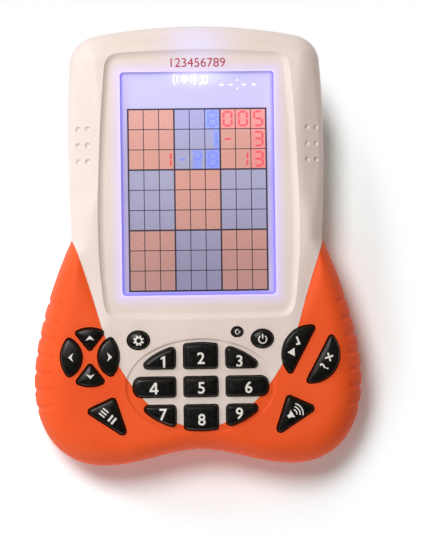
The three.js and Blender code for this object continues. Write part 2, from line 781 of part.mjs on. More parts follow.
// Finger notches over the edge of the grips, from the front to the back
function notches() {
  const middle = padY + GRIP_LIFT + 9.5;
  const lift = NOTCH_RADIUS - NOTCH_DEPTH;
  const right = outline.map((p, i) => ({ p, normal: normals[i] })).filter(({ p }) => p.x > waistHalf * 0.8);
  const cutters = [];
  for (let k = 0; k < NOTCH_COUNT; k += 1) {
    const y = middle - (k - (NOTCH_COUNT - 1) / 2) * NOTCH_PITCH;
    const i = right.findIndex(({ p }) => p.y > y);
    const share = (y - right[i - 1].p.y) / (right[i].p.y - right[i - 1].p.y);
    const edge = right[i - 1].p.clone().lerp(right[i].p, share);
    const normal = right[i - 1].normal.clone().lerp(right[i].normal, share).normalize();
    const route = [
      [frontSide, 0.55],
      [frontSide, 0.28],
      [frontSide, 0],
      [rearSide, 0.22],
    ].map(([side, part]) => {
      const place = edgePoint(side, edge, part);
      const inward = part === 0.55 ? NOTCH_REACH : place.x;
      const tilt = part * 1.4;
      const out = edge.clone().addScaledVector(normal, lift * Math.cos(tilt) - inward);
      const rise = place.y + lift * Math.sin(tilt);
      return new THREE.Vector3(out.x, out.y, SEAM_HEIGHT + side.sign * rise);
    });
    cutters.push(bar(route, NOTCH_RADIUS, 5, 3));
    cutters.push(bar(route.map((p) => new THREE.Vector3(-p.x, p.y, p.z)), NOTCH_RADIUS, 5, 3));
  }
  return cutters;
}

// Shells and grips

const allHeights = [-1, deck + 2];
const valleyCuts = [valleyCutter(1), valleyCutter(-1)];
const notchCuts = notches();

function frontShell() {
  const field = gripField(FIT, ...allHeights);
  const core = innerForm(frontSide, SKIN + FIT);
  const hollow = cut(form(frontSide), [field.subtract(core), innerForm(frontSide, wall)]);
  const bosses = screwPlaces.map(([x, y]) => drum(x, y, SEAM_HEIGHT + FIT, deck, bossRadius));
  const boardBosses = boardScrewPlaces.map(([x, y]) => drum(x, y, boardTop, deck, boardBossRadius));
  const inside = innerForm(frontSide, wall - CORE_WALL / 2);
  const carried = join([...bosses, ...boardBosses]).intersect(inside);
  const screwTip = SCREW_SINK + SCREW_LENGTH + FIT;
  const boardScrewTip = boardBottom + BOARD_SCREW_LENGTH + FIT;
  const holes = [
    ...screwPlaces.map(([x, y]) => bore(x, y, SEAM_HEIGHT - 1, screwTip, screwHole)),
    ...boardScrewPlaces.map(([x, y]) => bore(x, y, boardTop - 1, boardScrewTip, boardScrewHole)),
  ];
  const half = WINDOW_WIDTH / 2;
  const opening = roundedBox(-half, half, windowBottom, windowTop, WINDOW_CORNER);
  const lap = LENS_LAP + FIT;
  const seat = roundedBox(-half - lap, half + lap, windowBottom - lap, windowTop + lap, WINDOW_CORNER + lap);
  return cut(hollow.add(carried), [
    dishCutter(),
    prism(opening, boardTop, deck + 1),
    prism(seat, boardTop, lensTop),
    shoulderCutter(1),
    shoulderCutter(-1),
    ...valleyCuts,
    ovalGroove(),
    ...dimples(),
    ...keyHoles,
    ...holes,
  ]);
}

function frontGrip() {
  const skin = form(frontSide).intersect(gripField(0, ...allHeights));
  return cut(skin, [innerForm(frontSide, SKIN), ...valleyCuts, ovalGroove(), ...notchCuts, ...keyHoles]);
}

function rearGrip() {
  const skin = form(rearSide).intersect(gripField(0, ...allHeights));
  return cut(skin, [innerForm(rearSide, SKIN), ...notchCuts, ...screwWells()]);
}

const screwWells = () =>
  screwPlaces.map(([x, y]) => drum(x, y, -1, SCREW_SINK, SCREW_HEAD_RADIUS + FIT));

function rearShell() {
  const field = gripField(FIT, ...allHeights);
  const core = innerForm(rearSide, SKIN + FIT);
  const shell = cut(form(rearSide), [field.subtract(core), innerForm(rearSide, wall)]);
  const floor = CORE_WALL;
  const tubHalf = bayHalf + TUB_WALL;
  const tub = box(-tubHalf, tubHalf, bayLow - TUB_WALL, bayHigh + TUB_WALL, floor, tubTop);
  const pocketTop = hookHigh + FIT;
  const pocketHalf = bayHalf - 1;
  const pocketBlock = box(
    -pocketHalf - TUB_WALL,
    pocketHalf + TUB_WALL,
    bayHigh,
    ledgeEdge + TUB_WALL,
    floor,
    pocketTop + TUB_WALL,
  );
  const posts = screwPlaces.map(([x, y]) => drum(x, y, floor, SEAM_HEIGHT, postRadius));
  const ringOut = BUZZER_RADIUS - BUZZER_LAP / 3;
  const ringIn = BUZZER_RADIUS - BUZZER_LAP;
  const ring = drum(0, buzzerY, floor, buzzerBottom, ringOut, ringOut, 12);
  const ringHole = drum(0, buzzerY, wall, buzzerBottom + 1, ringIn, ringIn, 12);
  const inside = innerForm(rearSide, wall - CORE_WALL / 2);
  const joined = join([shell, tub, pocketBlock, ring, join(posts).intersect(inside)]);
  const doorHalf = bayHalf + DOOR_LAP;
  const recess = roundedBox(-doorHalf, doorHalf, doorLow - FIT, doorHigh + FIT, DOOR_CORNER + FIT);
  const tabSlots = [-1, 1].map((side) => {
    const half = TAB_WIDTH / 2 + FIT;
    const x = side * tabX;
    return box(x - half, x + half, ledgeEdge - 1, ledgeEdge + TAB_HOOK + FIT, hookLow - FIT, pocketTop);
  });
  const soundHoles = Array.from({ length: 7 }, (_, i) => {
    const away = i === 0 ? 0 : 5 * SOUND_HOLE;
    const angle = (i * Math.PI) / 3;
    return bore(away * Math.cos(angle), buzzerY + away * Math.sin(angle), -1, wall + 1, SOUND_HOLE);
  });
  return cut(joined, [
    ringHole,
    ...soundHoles,
    box(-bayHalf, bayHalf, bayLow, bayHigh, -1, bayRoof),
    box(-pocketHalf, pocketHalf, bayHigh - 1, ledgeEdge, -1, pocketTop),
    prism(recess, -1, doorInner + FIT),
    ...tabSlots,
    ...screwWells(),
    ...screwPlaces.map(([x, y]) => bore(x, y, -1, SEAM_HEIGHT + 1, screwHole)),
    ...leadHoles(),
    fingerScoop(),
  ]);
}

// Hollow for a fingertip at the latch end of the door
function fingerScoop() {
  const radius = 7;
  const geometry = new THREE.SphereGeometry(radius, 12, 8);
  return solid(geometry.translate(0, doorLow - 1, -radius + 1.6));
}

const leadHoleZ = cellZ + 2.8;

// Holes in the ends of the bay behind the contacts
const leadHoles = () => [
  box(-CELL_PITCH - 1, -CELL_PITCH + 1, bayHigh - 1, bayHigh + TUB_WALL + 1, leadHoleZ - 1, leadHoleZ + 1),
  box(CELL_PITCH - 1, CELL_PITCH + 1, bayLow - TUB_WALL - 1, bayLow + 1, leadHoleZ - 1, leadHoleZ + 1),
];

// Screen stack

function screenLens() {
  const half = WINDOW_WIDTH / 2 + LENS_LAP;
  const ends = [windowBottom - LENS_LAP, windowTop + LENS_LAP];
  return prism(roundedBox(-half, half, ...ends, WINDOW_CORNER + LENS_LAP), lensBottom, lensTop);
}

const lcdHalf = WINDOW_WIDTH / 2 + LCD_BORDER;
const lcdLow = windowBottom - LCD_LEDGE;
const lcdHigh = windowTop + LCD_BORDER;
const guideLow = lcdLow + STRIP_WIDTH + 2 * FIT;

// Two glass plates, the lower one longer for its contacts
function lcdPanel() {
  const middle = (lcdBottom + lcdTop) / 2;
  const lower = box(-lcdHalf, lcdHalf, lcdLow, lcdHigh, lcdBottom, middle);
  const upper = box(-lcdHalf, lcdHalf, lcdLow + STRIP_WIDTH, lcdHigh, middle, lcdTop);
  return lower.add(upper);
}

const lightGuide = () => box(-lcdHalf, lcdHalf, guideLow, lcdHigh, boardTop, guideTop);

function lcdFrame() {
  const gap = lcdHalf + FIT;
  const outer = roundedBox(-frameHalf, frameHalf, frameBottom, frameTop, FRAME_WALL);
  const ring = prism(outer, boardTop, lcdTop);
  const lampSlot = box(-LAMP_RADIUS, LAMP_RADIUS, lcdHigh, frameTop + 1, boardTop + 0.4, guideTop);
  return cut(ring, [box(-gap, gap, lcdLow - FIT, lcdHigh + FIT, boardTop - 1, lcdTop + 1), lampSlot]);
}

const zebraStrip = () => box(-lcdHalf, lcdHalf, lcdLow, lcdLow + STRIP_WIDTH, boardTop, lcdBottom);

const lampY = frameTop + FIT + LAMP_RADIUS;

function screenLamp() {
  const r = LAMP_RADIUS;
  const shoulder = LAMP_HEIGHT - r;
  const tip = [[0.8 * r, shoulder + 0.6 * r], [0.4 * r, shoulder + 0.92 * r], [0, LAMP_HEIGHT]];
  const profile = [[0, 0], [r, 0], [r, shoulder], ...tip];
  return solid(geometryOf(turned(profile, 12)).translate(0, lampY, boardTop));
}

// Board, chip and mat

function mainBoard() {
  const plan = prism(inset(plainOutline, BOARD_INSET), boardBottom, boardTop);
  const clear = screwPlaces.map(([x, y]) => drum(x, y, boardBottom - 1, boardTop + 1, bossRadius + FIT));
  const holes = boardScrewPlaces.map(([x, y]) => bore(x, y, boardBottom - 1, boardTop + 1, boardScrewHole));
  return cut(plan, [...clear, ...holes]);
}

function chipBlob() {
  const r = CHIP_RADIUS;
  const h = CHIP_HEIGHT;
  const profile = [[0, -h], [0.5 * r, -0.93 * h], [0.82 * r, -0.6 * h], [r, 0], [0, 0]];
  return solid(geometryOf(turned(profile, 12)).translate(0, windowTop - 16, boardBottom));
}

// Silicone sheet with a dome under each key, the domes drawn pressed
function keypadMat() {
  const sheet = prism(inset(plainOutline, BOARD_INSET + 0.8), boardTop, matTop);
  const area = box(-gripHalf, gripHalf, footY, frameBottom - FIT, boardTop - 1, matTop + 1);
  const domes = keys.map(({ middle }) => {
    return drum(middle.x, middle.y, boardTop, domeTop, DOME_RADIUS + DOME_FLARE, DOME_RADIUS, 6);
  });
  const clear = screwPlaces.map(([x, y]) => drum(x, y, boardTop - 1, matTop + 1, bossRadius + FIT));
  const holes = boardScrewPlaces.map(([x, y]) => drum(x, y, boardTop - 1, matTop + 1, boardBossRadius + FIT));
  return cut(join([sheet.intersect(area), ...domes]), [...clear, ...holes]);
}

// Power

function cell(x, plusUp) {
  const r = CELL_DIAMETER / 2;
  const body = CELL_LENGTH - CELL_NUB;
  const profile = [[0, 0], [r - 0.4, 0], [r, 0.4], [r, body - 0.4], [r - 0.4, body]];
  const nub = [[CELL_NUB_RADIUS, body], [CELL_NUB_RADIUS, CELL_LENGTH], [0, CELL_LENGTH]];
  const geometry = geometryOf(turned([...profile, ...nub], 12));
  geometry.rotateX(-Math.PI / 2);
  if (!plusUp) geometry.rotateZ(Math.PI);
  const plusEnd = plusUp ? bayHigh - CONTACT_THICK - FIT : bayLow + CONTACT_THICK + FIT;
  return solid(geometry.translate(x, plusEnd - (plusUp ? CELL_LENGTH : -CELL_LENGTH), cellZ));
}

// Cone spring from a contact to the flat end of a cell
function coneSpring(x, wallY, direction) {
  const count = SPRING_TURNS * SPRING_POINTS;
  const start = wallY + direction * 0.6 * CONTACT_THICK;
  const end = wallY + direction * (CONTACT_THICK + SPRING_LENGTH - SPRING_WIRE / 2);
  const route = Array.from({ length: count + 1 }, (_, i) => {
    const share = i / count;
    const angle = 2 * Math.PI * SPRING_TURNS * share;
    const radius = THREE.MathUtils.lerp(SPRING_RADIUS, SPRING_TIP_RADIUS, share);
    const y = THREE.MathUtils.lerp(start, end, share);
    return new THREE.Vector3(x + radius * Math.cos(angle), y, cellZ + radius * Math.sin(angle));
  });
  return { route, body: bar(route, SPRING_WIRE / 2, 5, count) };
}

// Least gap between turns of a spring, measured on its points
function leastGap(route) {
  let least = Infinity;
  route.forEach((p, i) => {
    route.slice(i + SPRING_POINTS / 2).forEach((q) => {
      least = Math.min(least, p.distanceTo(q));
    });
  });
  return least - SPRING_WIRE;
}

function contactPlate(x, wallY, direction, wide = 0) {
  const half = CONTACT_SIZE / 2;
  const faces = [wallY, wallY + direction * CONTACT_THICK].sort((a, b) => a - b);
  return box(x - half, x + half + wide, ...faces, cellZ - half, cellZ + half);
}

const springs = [
  coneSpring(-CELL_PITCH, bayLow, 1),
  coneSpring(0, bayHigh, -1),
  coneSpring(CELL_PITCH, bayLow, 1),
];
console.log("least gap between spring turns", leastGap(springs[0].route).toFixed(2), "mm");

function batteryDoor() {
  const half = bayHalf + DOOR_LAP - FIT;
  const plate = prism(roundedBox(-half, half, doorLow, doorHigh, DOOR_CORNER), DOOR_SINK, doorInner);
  const tabs = [-1, 1].flatMap((side) => {
    const x = side * tabX;
    const riser = [ledgeEdge - FIT - TAB_THICK, ledgeEdge - FIT];
    return [
      box(x - TAB_WIDTH / 2, x + TAB_WIDTH / 2, ...riser, doorInner - 0.5, hookHigh),
      box(x - TAB_WIDTH / 2, x + TAB_WIDTH / 2, riser[0], ledgeEdge + TAB_HOOK, hookLow, hookHigh),
    ];
  });
  const latchHalf = TAB_WIDTH / 2;
  const latchEnds = [bayLow + FIT, bayLow + FIT + TAB_THICK];
  const latch = box(-latchHalf, latchHalf, ...latchEnds, doorInner - 0.5, doorInner + LATCH_RISE);
  const grooves = [0, 1, 2].map((i) => {
    const y = doorLow + 2 * DOOR_CORNER + 2 * i;
    return box(-TAB_WIDTH, TAB_WIDTH, y, y + 1, DOOR_SINK - 1, DOOR_SINK + GROOVE_DEPTH);
  });
  return cut(join([plate, ...tabs, latch]), grooves);
}

function buzzerDisc() {
  const top = buzzerBottom + BUZZER_THICK;
  const middle = buzzerBottom + BUZZER_THICK / 2;
  const layer = (high, radius) => drum(0, buzzerY, buzzerBottom, high, radius, radius, 12);
  return layer(middle, BUZZER_RADIUS).add(layer(top, 0.7 * BUZZER_RADIUS));
}

// Insulated lead from one place to another through a few points
function lead(points) {
  const route = points.map(([x, y, z]) => new THREE.Vector3(x, y, z));
  return bar(route, LEAD_RADIUS, 5, 5);
}

const leadTop = boardBottom - FIT;

const batteryLead = (x, wallY, direction) =>
  lead([
    [x, wallY + direction * FIT, leadHoleZ],
    [x, wallY + direction * (TUB_WALL + 2), leadHoleZ],
    [x, wallY + direction * (TUB_WALL + 4.4), leadHoleZ + 1.6],
    [x, wallY + direction * (TUB_WALL + 5), leadTop],
  ]);

const buzzerLead = (side) => {
  const low = buzzerBottom + BUZZER_THICK + FIT;
  return lead([
    [side * 3, buzzerY, low],
    [side * 3, buzzerY, low + 3],
    [side * 5, buzzerY + 4, (low + leadTop) / 2],
    [side * 6, buzzerY + 7, leadTop - 3],
    [side * 6, buzzerY + 7, leadTop],
  ]);
};

// Screw from below: head, then shank
function screw(x, y, seat, headRadius, headHeight, radius, shank) {
  const profile = [
    [0, seat - headHeight],
    [0.8 * headRadius, seat - headHeight],
    [headRadius, seat],
    [radius, seat],
    [radius, seat + shank - radius],
    [0, seat + shank],
  ];
  return solid(geometryOf(turned(profile, 6)).translate(x, y, 0));
}

// Finishes

const finishes = {
  shell: { color: 0xf0e6de, roughness: 0.42, metalness: 0 },
  grip: { color: 0xf0592b, roughness: 0.6, metalness: 0 },
  key: { color: 0x0e0f0e, roughness: 0.18, metalness: 0 },
  lens: { color: 0xeef2f6, roughness: 0.05, metalness: 0, transparent: true, opacity: 0.25 },
  screen: { color: 0xc39a9a, roughness: 0.3, metalness: 0 },
  guide: { color: 0xe8ecff, roughness: 0.35, metalness: 0 },
  frame: { color: 0xe9e9e4, roughness: 0.5, metalness: 0 },
  rubber: { color: 0x8f9094, roughness: 0.8, metalness: 0 },
  strip: { color: 0x2c2c30, roughness: 0.7, metalness: 0 },
  board: { color: 0x2e5a3a, roughness: 0.45, metalness: 0 },
  resin: { color: 0x151515, roughness: 0.35, metalness: 0 },
  brass: { color: 0xc8a24a, roughness: 0.35, metalness: 1 },
  lamp: { color: 0xbfc8ff, roughness: 0.2, metalness: 0 },
  cell: { color: 0x5a636d, roughness: 0.35, metalness: 0.3 },
  contact: { color: 0xc9cbcd, roughness: 0.3, metalness: 1 },
  steel: { color: 0xa9abad, roughness: 0.35, metalness: 1 },
  red: { color: 0xb01c1c, roughness: 0.5, metalness: 0 },
  black: { color: 0x1a1a1a, roughness: 0.5, metalness: 0 },
};

const game = new THREE.Group();

function place(name, finish, body) {
  const mesh = new THREE.Mesh(geometryOf(body), new THREE.MeshStandardMaterial(finishes[finish]));
  mesh.name = name;
  game.add(mesh);
}

place("front_shell", "shell", frontShell());
place("front_grip", "grip", frontGrip());
place("rear_shell", "shell", rearShell());
place("rear_grip", "grip", rearGrip());
place("screen_lens", "lens", screenLens());
place("lcd_panel", "screen", lcdPanel());
place("light_guide", "guide", lightGuide());
place("lcd_frame", "frame", lcdFrame());
place("zebra_strip", "strip", zebraStrip());
place("screen_lamp", "lamp", screenLamp());
place("main_board", "board", mainBoard());
place("chip_blob", "resin", chipBlob());
place("keypad_mat", "rubber", keypadMat());
for (const key of keys) place(key.name, "key", keySolid(key));
place("battery_door", "shell", batteryDoor());
place("battery_1", "cell", cell(-CELL_PITCH, true));
place("battery_2", "cell", cell(0, false));
place("battery_3", "cell", cell(CELL_PITCH, true));
place("battery_plate", "contact", contactPlate(-CELL_PITCH, bayHigh, -1));
place("bridge_contact_1", "contact", contactPlate(-CELL_PITCH, bayLow, 1, CELL_PITCH).add(springs[0].body));
place("bridge_contact_2", "contact", contactPlate(0, bayHigh, -1, CELL_PITCH).add(springs[1].body));
place("battery_spring", "contact", contactPlate(CELL_PITCH, bayLow, 1).add(springs[2].body));
place("buzzer_disc", "brass", buzzerDisc());
place("battery_lead_plus", "red", batteryLead(-CELL_PITCH, bayHigh, 1));
place("battery_lead_minus", "black", batteryLead(CELL_PITCH, bayLow, -1));
place("buzzer_lead_plus", "red", buzzerLead(1));
place("buzzer_lead_minus", "black", buzzerLead(-1));
screwPlaces.forEach(([x, y], i) => {
  const body = screw(x, y, SCREW_SINK, SCREW_HEAD_RADIUS, SCREW_HEAD_HEIGHT, SCREW_RADIUS, SCREW_LENGTH);
  place(`case_screw_${i + 1}`, "steel", body);
});
boardScrewPlaces.forEach(([x, y], i) => {
  const body = screw(x, y, boardBottom, BOARD_SCREW_HEAD, 1.2, BOARD_SCREW_RADIUS, BOARD_SCREW_LENGTH);
  place(`board_screw_${i + 1}`, "steel", body);
});

export default game;
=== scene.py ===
"""Looks of a handheld number-puzzle game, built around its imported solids. Plan sizes are in millimetres."""
import math

import bmesh
import bpy
from mathutils import Matrix, Vector, geometry


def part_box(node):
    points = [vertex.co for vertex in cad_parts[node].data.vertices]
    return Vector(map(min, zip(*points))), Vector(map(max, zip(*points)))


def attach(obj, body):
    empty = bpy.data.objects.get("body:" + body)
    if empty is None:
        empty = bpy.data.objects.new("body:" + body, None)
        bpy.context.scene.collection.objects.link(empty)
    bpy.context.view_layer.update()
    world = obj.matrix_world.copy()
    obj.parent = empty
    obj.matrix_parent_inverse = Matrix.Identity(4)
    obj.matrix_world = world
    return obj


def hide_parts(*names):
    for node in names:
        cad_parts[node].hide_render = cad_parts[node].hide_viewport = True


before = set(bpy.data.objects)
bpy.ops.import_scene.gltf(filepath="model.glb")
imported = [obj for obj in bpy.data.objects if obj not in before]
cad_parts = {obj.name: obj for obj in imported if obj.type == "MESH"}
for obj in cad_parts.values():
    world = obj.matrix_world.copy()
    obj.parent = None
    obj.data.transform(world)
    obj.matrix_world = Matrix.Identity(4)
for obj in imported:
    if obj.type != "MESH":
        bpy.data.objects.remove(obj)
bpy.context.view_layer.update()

MM = 0.001
scene = bpy.context.scene
scene.view_settings.view_transform = "Standard"


def span(node):
    """Lowest and highest corner of a solid, in millimetres."""
    low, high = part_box(node)
    return low / MM, high / MM


# Levels and places that the solids give
GRIP_LOW, GRIP_HIGH = span("front_grip")
SHELL_LOW, SHELL_HIGH = span("front_shell")
LENS_LOW, LENS_HIGH = span("screen_lens")
DOOR_LOW, DOOR_HIGH = span("battery_door")
KEY_TOP = span("key_5")[1].z
FLANGE_LOW = span("key_5")[0].z
BOARD_TOP = span("main_board")[1].z
SEAM, DECK = SHELL_LOW.z, SHELL_HIGH.z
TOP_Y, FOOT_Y, WAIST_Y = SHELL_HIGH.y, GRIP_LOW.y, GRIP_HIGH.y
GRIP_HALF = GRIP_HIGH.x - 0.01  # a hair inside the solid, so that rounding can't pass its box
LENS_LAP, LENS_CORNER, WINDOW_CORNER = 2.0, 3.6, 1.3
WINDOW_HALF = LENS_HIGH.x - LENS_LAP
WINDOW_TOP = LENS_HIGH.y - LENS_LAP
WINDOW_BOTTOM = LENS_LOW.y + LENS_LAP

# Outline of the case
HEAD_HALF = 43.15
HEAD_CROWN = 3.1
HEAD_CORNER = 10.0
HEAD_TAPER = 1.2
WAIST_HALF = 42.2
CLUSTER_X, CLUSTER_Y, CLUSTER_RADIUS = 36.9, -37.4, 9.95
ARROWS_Y = CLUSTER_Y + 0.5
PAD_Y = -47.2
PAD_WIDTH, PAD_HEIGHT = 50.5, 32.2
GRIP_Y = PAD_Y + 1.5
FOOT_X = CLUSTER_X - 5.2
FOOT_DIP = 5.1

# Glow of the screen lamp through the top of the case, and round the window
LAMP_Y, LAMP_REACH_X, LAMP_REACH_Y = 67.0, 17.0, 11.0
HALO_REACH, LINE_REACH = 4.5, 0.9

# Walls and edges
FIT = 0.3
JOINT = 0.06  # line between shell and rubber
SKIN = 1.6
WALL = 3.0
HEAD_ROUND, GRIP_ROUND, BACK_ROUND = 7.5, 12.0, 8.0
EDGE_POWER = 0.8
SEAM_GROOVE = 0.25
SHOULDER_SLOPE, SHOULDER_TO_EDGE, SHOULDER_MIDDLE, SHOULDER_BOW = 0.5, 9.2, 0.42, 3.6
VALLEY_DEPTH, VALLEY_WHITE, VALLEY_GRIP = 1.2, 0.26, 0.45  # and the slopes of its sides
SHOULDER_SOFT, VALLEY_SOFT = 1.1, 0.7  # width over which their creases are rounded
EDGE_BAND = 9.0  # shoulders and valleys reach down this far from the deck
DISH_DEPTH, PAD_DEPTH = 1.2, 0.45
FINE, COARSE = 0.45, 6.0  # spacing of outline points on seen and on hidden faces


def plan(x, y):
    return Vector((x, y))


def at(points, level):
    """Plan points raised to a level."""
    return [Vector((p.x, p.y, level)) for p in points]


def ring_point(radius, degrees):
    angle = math.radians(degrees)
    return plan(radius * math.cos(angle), radius * math.sin(angle))


def smooth(low, high, value):
    share = min(max((value - low) / (high - low), 0), 1)
    return share * share * (3 - 2 * share)


def bezier(a, b, c, d, count):
    knots = [Vector((p[0], p[1], 0)) for p in (a, b, c, d)]
    return [p.to_2d() for p in geometry.interpolate_bezier(*knots, count + 1)]


def case_curves():
    """Right half of the outline as curves, from the middle of the top to that of the bottom.

    The shares of a length are the pulls of the curves' handles.
    """
    crown = plan(HEAD_HALF - HEAD_CORNER, TOP_Y - HEAD_CROWN)
    fall = 2 * HEAD_CROWN / crown.x
    end = plan(HEAD_HALF - HEAD_TAPER, crown.y - 0.92 * HEAD_CORNER)
    side = end.y - WAIST_Y
    flare = plan(GRIP_HALF - WAIST_HALF, WAIST_Y - GRIP_Y)
    lobe = plan(GRIP_HALF - FOOT_X, GRIP_Y - FOOT_Y)
    dip = FOOT_Y + FOOT_DIP
    waist, widest, foot = (WAIST_HALF, WAIST_Y), (GRIP_HALF, GRIP_Y), (FOOT_X, FOOT_Y)
    return [
        ((0, TOP_Y), (crown.x / 3, TOP_Y), (crown.x * 2 / 3, TOP_Y - HEAD_CROWN / 3), crown),
        (crown, (crown.x + HEAD_CORNER / 2, crown.y - fall * HEAD_CORNER / 2),
         (end.x - HEAD_TAPER / 3, end.y + HEAD_CORNER / 2), end),
        (end, (HEAD_HALF + HEAD_TAPER / 2, end.y - side / 3), (HEAD_HALF, WAIST_Y + side / 3), waist),
        (waist, (WAIST_HALF + 0.55 * flare.x, WAIST_Y - 0.32 * flare.y),
         (GRIP_HALF, GRIP_Y + 0.27 * flare.y), widest),
        (widest, (GRIP_HALF, GRIP_Y - 0.57 * lobe.y), (FOOT_X + 0.66 * lobe.x, FOOT_Y), foot),
        (foot, (0.64 * FOOT_X, FOOT_Y), (0.32 * FOOT_X, dip), (0, dip)),
    ]


def case_outline(spacing):
    half = []
    for curve in case_curves():
        reach = sum((plan(*q) - plan(*p)).length for p, q in zip(curve, curve[1:]))
        points = bezier(*curve, max(2, round(reach / spacing)))
        half += points[1:] if half else points
    return half[::-1] + [plan(-p.x, p.y) for p in half[1:-1]]


def outward(points):
    """Outward normals of a closed outline that runs anticlockwise."""
    found = []
    for i, p in enumerate(points):
        along = (p - points[i - 1]).normalized() + (points[(i + 1) % len(points)] - p).normalized()
        along.normalize()
        found.append(plan(along.y, -along.x))
    return found


OUTLINES = {spacing: (case_outline(spacing), outward(case_outline(spacing))) for spacing in (FINE, COARSE)}


def edge_point(front, place, share):
    """How far in from the outline, and how far from the seam, the rounded edge is at a share of its turn."""
    angle = share * math.pi / 2
    grip = smooth(-WAIST_Y, -GRIP_Y, -place.y) * smooth(CLUSTER_X / 2, CLUSTER_X, abs(place.x))
    width = HEAD_ROUND + (GRIP_ROUND - HEAD_ROUND) * grip if front else BACK_ROUND
    height = DECK - SEAM if front else SEAM
    inward = width * (1 - max(math.cos(angle), 0) ** EDGE_POWER)
    return plan(inward, height * math.sin(angle) ** EDGE_POWER)


def edge_ring(front, share, spacing, depth=0.0):
    """Ring of the case form, drawn in by a depth that is measured square to the surface."""
    ring = []
    for p, normal in zip(*OUTLINES[spacing]):
        here = edge_point(front, p, share)
        along = edge_point(front, p, min(share + 0.02, 1)) - edge_point(front, p, max(share - 0.02, 0))
        along = plan(0, 1) if share == 0 else plan(1, 0) if share == 1 else along.normalized()
        place = p - normal * (here.x + depth * along.y)
        rise = here.y - depth * along.x
        ring.append(Vector((place.x, place.y, SEAM + rise if front else SEAM - rise)))
    return ring


def loft(rings):
    """Closed skin over rings of matching points."""
    bm = bmesh.new()
    across, up = len(rings[0]), len(rings) - 1
    for v in bmesh.ops.create_grid(bm, x_segments=across, y_segments=up, size=1)["verts"]:
        i, j = round((v.co.x + 1) / 2 * across), round((v.co.y + 1) / 2 * up)
        v.co = rings[j][i % across]
    bmesh.ops.remove_doubles(bm, verts=bm.verts, dist=1e-4)
    bmesh.ops.holes_fill(bm, edges=[e for e in bm.edges if e.is_boundary], sides=0)
    bmesh.ops.recalc_face_normals(bm, faces=bm.faces)
    return bm


def prism(points, low, high, bm=None):
    bm = bm or bmesh.new()
    face = bm.faces.new([bm.verts.new((p[0], p[1], low)) for p in points])
    raised = bmesh.ops.extrude_face_region(bm, geom=[face])["geom"]
    upper = [part for part in raised if isinstance(part, bmesh.types.BMVert)]
    bmesh.ops.translate(bm, vec=(0, 0, high - low), verts=upper)
    bmesh.ops.recalc_face_normals(bm, faces=bm.faces)
    return bm


def box(low, high, bm=None):
    bm = bm or bmesh.new()
    low, high = Vector(low), Vector(high)
    place = Matrix.Translation((low + high) / 2) @ Matrix.Diagonal((*(high - low), 1))
    bmesh.ops.create_cube(bm, size=1, matrix=place)
    return bm


def drum(x, y, low, high, radius, bm=None, sides=48):
    bm = bm or bmesh.new()
    bmesh.ops.create_cone(bm, cap_ends=True, segments=sides, radius1=radius, radius2=radius, depth=high - low,
                          matrix=Matrix.Translation((x, y, (low + high) / 2)))
    return bm


def rounded_box(half, low_y, high_y, radius, steps=8):
    corners = [(half - radius, low_y + radius, -90), (half - radius, high_y - radius, 0),
               (radius - half, high_y - radius, 90), (radius - half, low_y + radius, 180)]
    return [plan(x, y) + ring_point(radius, start + 90 * k / steps)
            for x, y, start in corners for k in range(steps + 1)]


def oval(x, y, half_width, half_height, sides):
    turns = [2 * math.pi * i / sides for i in range(sides)]
    return [plan(x + half_width * math.cos(a), y + half_height * math.sin(a)) for a in turns]


def turned(profile, axis, steps):
    """Profile of (radius, height) spun about an axis, Y or Z."""
    bm = bmesh.new()
    line = [bm.verts.new((r, h, 0) if axis == "Y" else (r, 0, h)) for r, h in profile]
    edges = [bm.edges.new(pair) for pair in zip(line, line[1:])]
    about = (0, 1, 0) if axis == "Y" else (0, 0, 1)
    bmesh.ops.spin(bm, geom=line + edges, cent=(0, 0, 0), axis=about, angle=2 * math.pi, steps=steps,
                   use_merge=True)
    bmesh.ops.remove_doubles(bm, verts=bm.verts, dist=1e-4)
    bmesh.ops.recalc_face_normals(bm, faces=bm.faces)
    return bm


def move(bm, by):
    bmesh.ops.translate(bm, vec=by, verts=bm.verts)


def placed(name, data):
    """New object in the scene."""
    obj = bpy.data.objects.new(name, data)
    scene.collection.objects.link(obj)
    return obj


def as_object(name, bm):
    """Turns a form in millimetres into an object in metres."""
    bmesh.ops.scale(bm, vec=(MM, MM, MM), verts=bm.verts)
    mesh = bpy.data.meshes.new(name)
    bm.to_mesh(mesh)
    bm.free()
    return placed(name, mesh)


def result_of(obj):
    """Mesh of a curve, or of an object with its modifiers."""
    return bpy.data.meshes.new_from_object(obj.evaluated_get(bpy.context.evaluated_depsgraph_get()))


def carve(obj, form, how="DIFFERENCE"):
    """Cuts a form from an object, joins the two, or keeps what they share."""
    tool = form if isinstance(form, bpy.types.Object) else as_object("tool", form)
    step = obj.modifiers.new("carve", "BOOLEAN")
    step.operation, step.solver, step.object = how, "MANIFOLD", tool
    mesh = result_of(obj)
    obj.modifiers.clear()
    obj.data = mesh
    bpy.data.objects.remove(tool)
    return obj


def mesh_of(curve):
    """Closed form of a curve or of lettering."""
    holder = placed("curve", curve)
    mesh = result_of(holder)
    bpy.data.objects.remove(holder)
    bm = bmesh.new()
    bm.from_mesh(mesh)
    bmesh.ops.remove_doubles(bm, verts=bm.verts, dist=1e-4)
    bmesh.ops.recalc_face_normals(bm, faces=bm.faces)
    return bm


def copy_of(obj, name):
    return placed(name, obj.data.copy())


# Materials

def paint(code, alpha=1.0):
    """Linear colour of an sRGB hex value."""
    parts = [int(code[i:i + 2], 16) / 255 for i in (1, 3, 5)]
    return (*(c / 12.92 if c <= 0.04045 else ((c + 0.055) / 1.055) ** 2.4 for c in parts), alpha)


